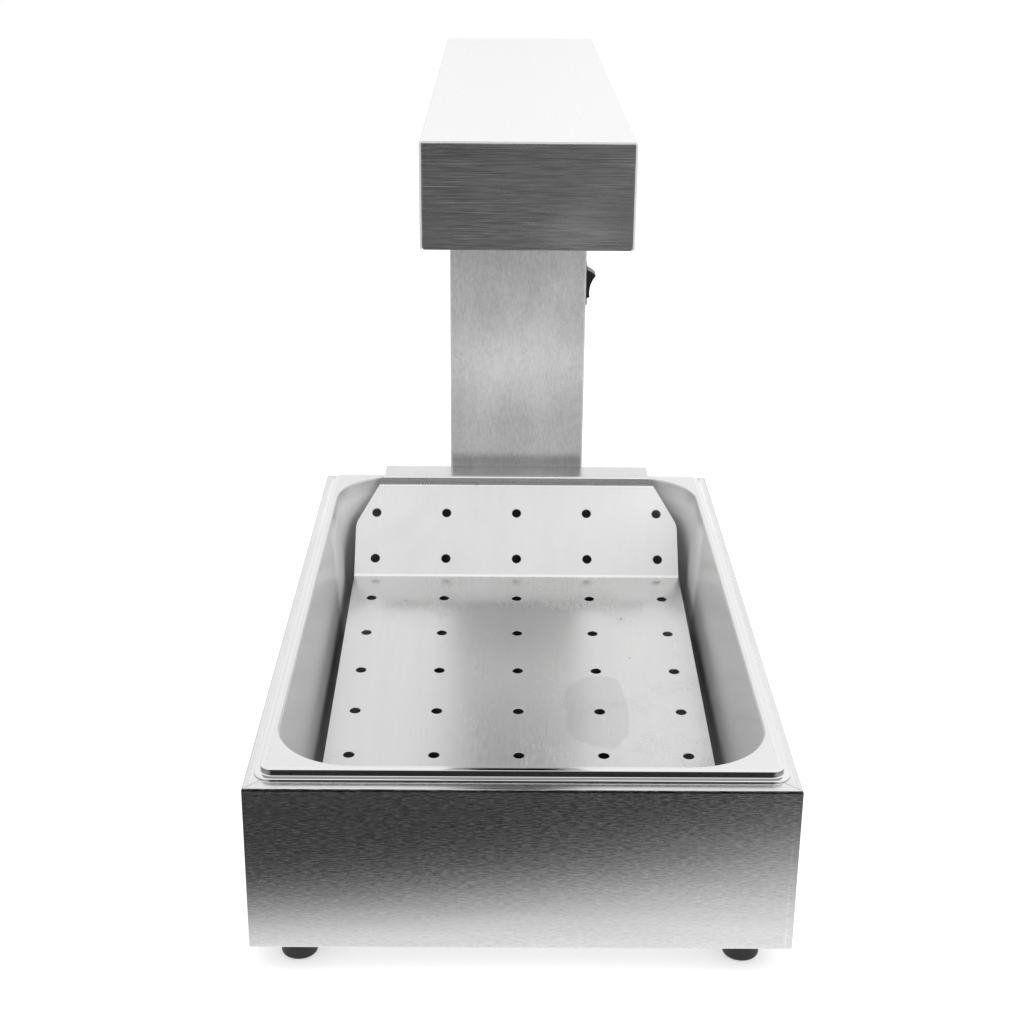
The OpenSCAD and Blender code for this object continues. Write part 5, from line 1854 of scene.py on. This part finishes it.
@dataclass
class Column:
    """The column, its cover, its fasteners and what the supply side holds."""

    dresser: Dresser
    fasteners: Fasteners
    finishes: Finishes
    sheet_edge: float = 0.25 * MM
    moulded_edge: float = 0.3 * MM

    def build(self) -> None:
        """Makes and dresses every piece of the column and the supply side."""
        d, f = self.dresser, self.finishes
        d.soften("column_channel", f.column, self.sheet_edge)
        d.soften("column_rear_cover", f.column, self.sheet_edge)
        self.fasteners.screws("column_cover_screws", Axis.BACK, M4, f.zinc)
        self.fasteners.screws("column_bolts", Axis.FRONT, M5, f.zinc)
        self.fasteners.nuts("column_nuts", Axis.BACK, M5, f.zinc)
        d.soften("cable_gland", f.black, self.moulded_edge)
        d.soften("gland_locknut", f.black, self.moulded_edge)
        d.soften("terminal_block", f.ceramic, self.moulded_edge)
        self.fasteners.nuts("terminal_block_nuts", Axis.BACK, M3, f.zinc)
        self.fasteners.nuts("earth_nut", Axis.BACK, M5, f.brass)
        d.keep("lead_supply", f.lead_brown)
        d.keep("lead_switched", f.lead_black)
        d.keep("lead_neutral", f.lead_blue)
        d.keep("lead_earth", f.lead_green)


@dataclass
class Switch:
    """The rocker switch in the column's right side."""

    dresser: Dresser
    finishes: Finishes
    housing_edge: float = 0.5 * MM
    rocker_edge: float = 0.6 * MM
    blade_edge: float = 0.1 * MM

    def build(self) -> None:
        """Makes and dresses the switch's pieces."""
        d, f = self.dresser, self.finishes
        d.soften("switch_housing", f.black, self.housing_edge, 3)
        d.soften("switch_rocker", f.rocker, self.rocker_edge, 3, 30.0)
        d.soften("switch_blades", f.brass, self.blade_edge)


class GuardRecipe:
    """The tree that makes the welded wire guard."""

    def __init__(self) -> None:
        """Builds the tree."""
        r = Recipe("wire_guard")
        g = r.g
        half, length = r.size("Half width", 0.04), r.size("Length", 0.3)
        rail, wire = r.size("Rail diameter", 0.003), r.size("Wire diameter", 0.0025)
        count, pitch = r.size("Count", 10, "Int"), r.size("Pitch", 0.025)
        lift, over = r.size("Wire lift", 0.0024), r.size("Wire overhang", 0.0005)
        start, place = r.size("First wire", 0.0), r.size("Place", ORIGIN, "Vector")
        rods = []
        for sign in (-1.0, 1.0):
            x = g.times(half, sign)
            rods.append(self._rod(r, (x, 0.0, 0.0), (x, length, 0.0), rail))
        reach = g.plus(half, over)
        cross = self._rod(r, (g.times(reach, -1.0), 0.0, lift), (reach, 0.0, lift), wire)
        spots = r.node("MeshLine", {"Count": count, "Start Location": g.joined(y=start),
                                    "Offset": g.joined(y=pitch)}, mode="OFFSET")
        wires = r.node("InstanceOnPoints", {"Points": spots.outputs["Mesh"], "Instance": cross})
        r.close(r.moved(r.together(*rods, wires.outputs[0]), Translation=place))
        self.recipe = r

    @staticmethod
    def _rod(r: Recipe, start: Sequence, end: Sequence, diameter: object) -> object:
        """A straight round rod between two points whose coordinates may be sockets.

        Args:
            r: the guard's recipe.
            start: the first end.
            end: the other end.
            diameter: the rod's diameter.

        Returns:
            The rod's geometry.
        """
        line = r.node("CurvePrimitiveLine", {"Start": r.g.joined(*start), "End": r.g.joined(*end)})
        radius = r.g.math("DIVIDE", diameter, 2.0)
        ring = r.node("CurvePrimitiveCircle", {"Resolution": ROD_SIDES, "Radius": radius})
        tube = r.node("CurveToMesh", {"Curve": line.outputs[0], "Profile Curve": ring.outputs[0],
                                      "Fill Caps": True})
        return tube.outputs[0]


@dataclass
class Head:
    """The head's casing with the heater in it."""

    dresser: Dresser
    fasteners: Fasteners
    finishes: Finishes
    shell_edge: float = 0.4 * MM
    front_edge: float = 0.3 * MM
    rear_edge: float = 0.25 * MM
    plate_edge: float = 0.2 * MM
    bracket_edge: float = 0.15 * MM
    rod_edge: float = 0.1 * MM
    ceramic_edge: float = 0.3 * MM
    rail: float = 3.0 * MM
    wire: float = 2.5 * MM
    weld: float = 0.4 * MM
    pitch: float = 25.0 * MM
    overhang: float = 0.5 * MM
    guard_ends: float = 10.0 * MM

    def build(self) -> None:
        """Makes and dresses every piece of the head."""
        d, f = self.dresser, self.finishes
        d.soften("head_shell", f.head, self.shell_edge)
        d.soften("head_front_cap", f.head_cap, self.front_edge)
        d.soften("head_rear_cap", f.head, self.rear_edge)
        self.fasteners.screws("head_cap_screws", Axis.BACK, M4, f.zinc)
        self.fasteners.screws("head_fixing_screws", Axis.OUTWARD, M5, f.zinc)
        d.soften("head_rivet_nuts", f.zinc, self.plate_edge)
        d.soften("reflector", f.mirror, self.plate_edge)
        d.soften("heating_element", f.sheath, self.rod_edge)
        d.soften("element_insulators", f.ceramic, self.ceramic_edge)
        d.soften("element_terminals", f.brass, self.rod_edge)
        d.soften("element_brackets", f.plate, self.bracket_edge)
        self.fasteners.screws("bracket_screws", Axis.DOWN, M4, f.zinc)
        self.fasteners.nuts("bracket_nuts", Axis.UP, M4, f.zinc)
        d.soften("guard_clips", f.plate, self.bracket_edge)
        self.fasteners.screws("guard_screws", Axis.DOWN, M3, f.zinc)
        self.fasteners.nuts("guard_nuts", Axis.UP, M3, f.zinc)
        self._guard()

    def _guard(self) -> None:
        """Makes and dresses the wire guard."""
        low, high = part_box("wire_guard")
        half = high.x - self.overhang
        length = high.y - low.y
        count = int((length - self.guard_ends) / self.pitch) + 1
        piece = points_piece("wire_guard_welded", [ORIGIN], [Axis.UP.value])
        GuardRecipe().recipe.run(
            piece, self.dresser.shop.material(self.finishes.wire),
            Half_width=half, Length=length, Rail_diameter=self.rail, Wire_diameter=self.wire,
            Count=count, Pitch=self.pitch, Wire_overhang=self.overhang,
            Wire_lift=(self.rail + self.wire) / 2 - self.weld,
            First_wire=(length - (count - 1) * self.pitch) / 2,
            Place=(0.0, low.y, low.z + self.rail / 2),
        )
        self.dresser.stand_in(piece, ["wire_guard"], self.finishes.wire)


# Studio


@dataclass(frozen=True)
class Room:
    """How bright the room is in each direction: dark low in front, bright beside, behind and above."""

    behind: float = 0.55
    above: float = 1.3
    least: float = 0.07
    rise: Point2 = (0.10, 0.80)
    horizon: Point2 = (0.12, 0.42)
    horizon_level: float = 0.04
    camera_round: Point2 = (0.93, 0.985)
    camera_dark: float = 0.8
    lean: float = 0.10

    def level(self, g: Graph, heading: object) -> object:
        """Adds the nodes that say how bright the room is in a direction.

        Args:
            g: the graph that they go into.
            heading: the direction, of length 1.

        Returns:
            The brightness.
        """
        parts = g.parts(heading)
        lift = g.plus(g.times(parts["Y"], self.behind), g.times(parts["Z"], self.above))
        turn = g.plus(g.unsigned(parts["X"]), lift)
        level = g.plus(self.least, g.times(g.ramp(turn, *self.rise), 1.0 - self.least))
        level = g.highest(level, g.times(g.ramp(parts["Z"], *self.horizon), self.horizon_level))
        facing = g.add("ShaderNodeVectorMath", {0: heading, 1: TOWARD_CAMERA},
                       operation="DOT_PRODUCT").outputs["Value"]
        near = g.times(g.ramp(facing, *self.camera_round), self.camera_dark)
        lean = g.plus(1.0, g.times(parts["X"], self.lean))
        return g.times(level, g.rest(near), lean)


@dataclass(frozen=True)
class Lamp:
    """A large soft lamp that is aimed at the object."""

    name: str
    place: Point
    size: float
    power: float

    def hang(self) -> None:
        """Makes the lamp, which reflections don't show."""
        data = bpy.data.lights.new(self.name, "AREA")
        data.shape = "SQUARE"
        data.size = self.size
        data.energy = self.power
        lamp = bpy.data.objects.new(self.name, data)
        lamp.location = self.place
        aim = LAMPS_AIM - Vector(self.place)
        lamp.rotation_euler = aim.to_track_quat("-Z", "Y").to_euler()
        lamp.visible_glossy = False
        bpy.context.scene.collection.objects.link(lamp)


@dataclass
class Studio:
    """Floor, surroundings, lamps and the camera at the photograph's viewing angle."""

    lens: float = 61.21
    sensor: float = 36.0
    clip: Point2 = (0.02, 50.0)
    pitch_deg: float = 21.10
    yaw_deg: float = 0.45
    roll_deg: float = 0.50
    eye: Point = (-0.01497, -1.21642, 0.65708)
    floor_half: float = 6.0
    floor_white: float = 0.46
    floor_grey: float = 0.80
    fill: float = 0.80
    pool_reach: float = 0.086
    pool_shape: float = 2.6
    pool_lean: float = 1.9
    pool_bow: float = 3.5
    pool_stretch: Point2 = (0.5, 1.6)
    floor_far: float = 0.60
    glow: float = 0.36
    glow_from: Point2 = (0.62, 0.95)
    glow_to: Point2 = (1.3, 2.1)
    dusk: float = 0.20
    dusk_from: Point2 = (0.5, 2.2)
    dusk_lean: float = 0.9
    dusk_narrowest: float = 0.4
    dusk_most: float = 0.4
    lamps: Tuple[Lamp, ...] = (
        Lamp("lamp_above", (0.2, -0.2, 2.4), 2.0, 18.0),
        Lamp("lamp_right", (1.9, -1.2, 1.5), 1.6, 9.0),
    )

    def build(self) -> None:
        """Makes the whole studio."""
        room = Room()
        self._camera()
        self._floor(room)
        self._world(room)
        for lamp in self.lamps:
            lamp.hang()

    def _camera(self) -> None:
        """Places the camera."""
        p, w, r = (math.radians(a) for a in (self.pitch_deg, self.yaw_deg, self.roll_deg))
        ahead = Vector((math.sin(w) * math.cos(p), math.cos(w) * math.cos(p), -math.sin(p)))
        level = Vector((math.cos(w), -math.sin(w), 0.0))
        above = level.cross(ahead)
        right = level * math.cos(r) + above * math.sin(r)
        up = above * math.cos(r) - level * math.sin(r)
        data = bpy.data.cameras.new("camera")
        data.lens = self.lens
        data.sensor_width = self.sensor
        data.clip_start, data.clip_end = self.clip
        camera = bpy.data.objects.new("camera", data)
        turn = Matrix((right, up, -ahead)).transposed().to_4x4()
        camera.matrix_world = Matrix.Translation(self.eye) @ turn
        bpy.context.scene.collection.objects.link(camera)
        bpy.context.scene.camera = camera

    def _floor(self, room: Room) -> None:
        """Makes the pale floor. Reflections show it white near the object and darker away from it.

        Args:
            room: how bright the room is.
        """
        s = self.floor_half
        mesh = bpy.data.meshes.new("floor")
        mesh.from_pydata([(-s, -s, 0), (s, -s, 0), (s, s, 0), (-s, s, 0)], [], [(0, 1, 2, 3)])
        floor = new_piece("floor", mesh)
        material = bpy.data.materials.new("pale_floor")
        material.use_nodes = True
        material.node_tree.nodes.clear()
        g = Graph(material.node_tree)
        path = g.add("ShaderNodeLightPath").outputs
        white = g.add("ShaderNodeEmission", {"Color": grey(1.0), "Strength": self.floor_white})
        matt = g.add("ShaderNodeBsdfDiffuse", {"Color": grey(self.floor_grey)})
        seen = g.add("ShaderNodeAddShader", {0: white.outputs[0], 1: matt.outputs[0]})
        mirrored = g.add("ShaderNodeEmission", {"Color": grey(1.0),
                                                "Strength": self._floor_mirrored(g, room)})
        glossy = g.add("ShaderNodeMixShader", {0: path["Is Glossy Ray"], 1: matt.outputs[0],
                                               2: mirrored.outputs[0]})
        shown = g.highest(path["Is Camera Ray"], path["Is Transmission Ray"])
        both = g.add("ShaderNodeMixShader", {0: shown, 1: glossy.outputs[0], 2: seen.outputs[0]})
        g.add("ShaderNodeOutputMaterial", {"Surface": both.outputs[0]})
        floor.data.materials.append(material)

    def _floor_mirrored(self, g: Graph, room: Room) -> object:
        """How bright reflections show each place of the floor.

        Args:
            g: the floor material's graph.
            room: how bright the room is.

        Returns:
            The brightness: a white pool round the base over what the floor shows further out.
        """
        place = g.add("ShaderNodeTexCoord").outputs["Object"]
        parts = g.parts(place)
        low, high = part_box("base_shell")
        beside = g.minus(g.unsigned(parts["X"]), high.x)
        away = g.highest(beside, 0.0, g.highest(g.minus(low.y, parts["Y"]), g.minus(parts["Y"], high.y)))
        bow = g.times(parts["X"], parts["X"], self.pool_bow)
        lean = g.plus(1.0, bow, g.times(parts["X"], self.pool_lean))
        least, most = self.pool_stretch
        reach = g.times(self.pool_reach, g.lowest(g.highest(lean, least), most))
        fall = g.math("POWER", g.math("DIVIDE", away, reach), self.pool_shape)
        pool = g.math("EXPONENT", g.times(fall, -1.0))
        far = g.times(room.level(g, g.vector("NORMALIZE", place)), self.floor_far)
        out_front = g.times(parts["Y"], -1.0)
        slant = g.highest(g.plus(1.0, g.times(parts["X"], self.dusk_lean)), self.dusk_narrowest)
        dusk = g.times(g.ramp(out_front, *self.dusk_from), self.dusk, slant)
        glow = g.minus(g.ramp(out_front, *self.glow_from), g.ramp(out_front, *self.glow_to))
        far = g.highest(far, g.lowest(dusk, self.dusk_most), g.times(glow, self.glow))
        return g.plus(far, g.times(pool, g.rest(far)))

    def _world(self, room: Room) -> None:
        """Makes the surroundings: white to the camera, the room in reflections, an even fill on matt.

        Args:
            room: how bright the room is.
        """
        world = bpy.data.worlds.new("studio")
        bpy.context.scene.world = world
        world.use_nodes = True
        world.node_tree.nodes.clear()
        g = Graph(world.node_tree)
        path = g.add("ShaderNodeLightPath").outputs
        heading = g.add("ShaderNodeTexCoord").outputs["Generated"]
        shown = g.highest(path["Is Camera Ray"], path["Is Transmission Ray"])
        matt = path["Is Diffuse Ray"]
        lit = g.plus(g.times(room.level(g, heading), g.rest(matt)), g.times(matt, self.fill))
        level = g.plus(g.times(lit, g.rest(shown)), shown)
        back = g.add("ShaderNodeBackground", {"Color": grey(1.0), "Strength": level})
        g.add("ShaderNodeOutputWorld", {"Surface": back.outputs[0]})


def main() -> None:
    """Builds the studio and the object's sub-assemblies in order."""
    logging.basicConfig(level=logging.INFO, format="%(message)s")
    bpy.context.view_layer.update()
    bpy.context.scene.view_settings.view_transform = "Standard"
    Studio().build()
    finishes = Finishes()
    dresser = Dresser(Shop())
    fasteners = Fasteners(dresser)
    Base(dresser, fasteners, finishes).build()
    Pan(dresser, finishes).build()
    DrainInsert(dresser, finishes).build()
    Column(dresser, fasteners, finishes).build()
    Switch(dresser, finishes).build()
    Head(dresser, fasteners, finishes).build()


if __name__ == "__main__":
    main()
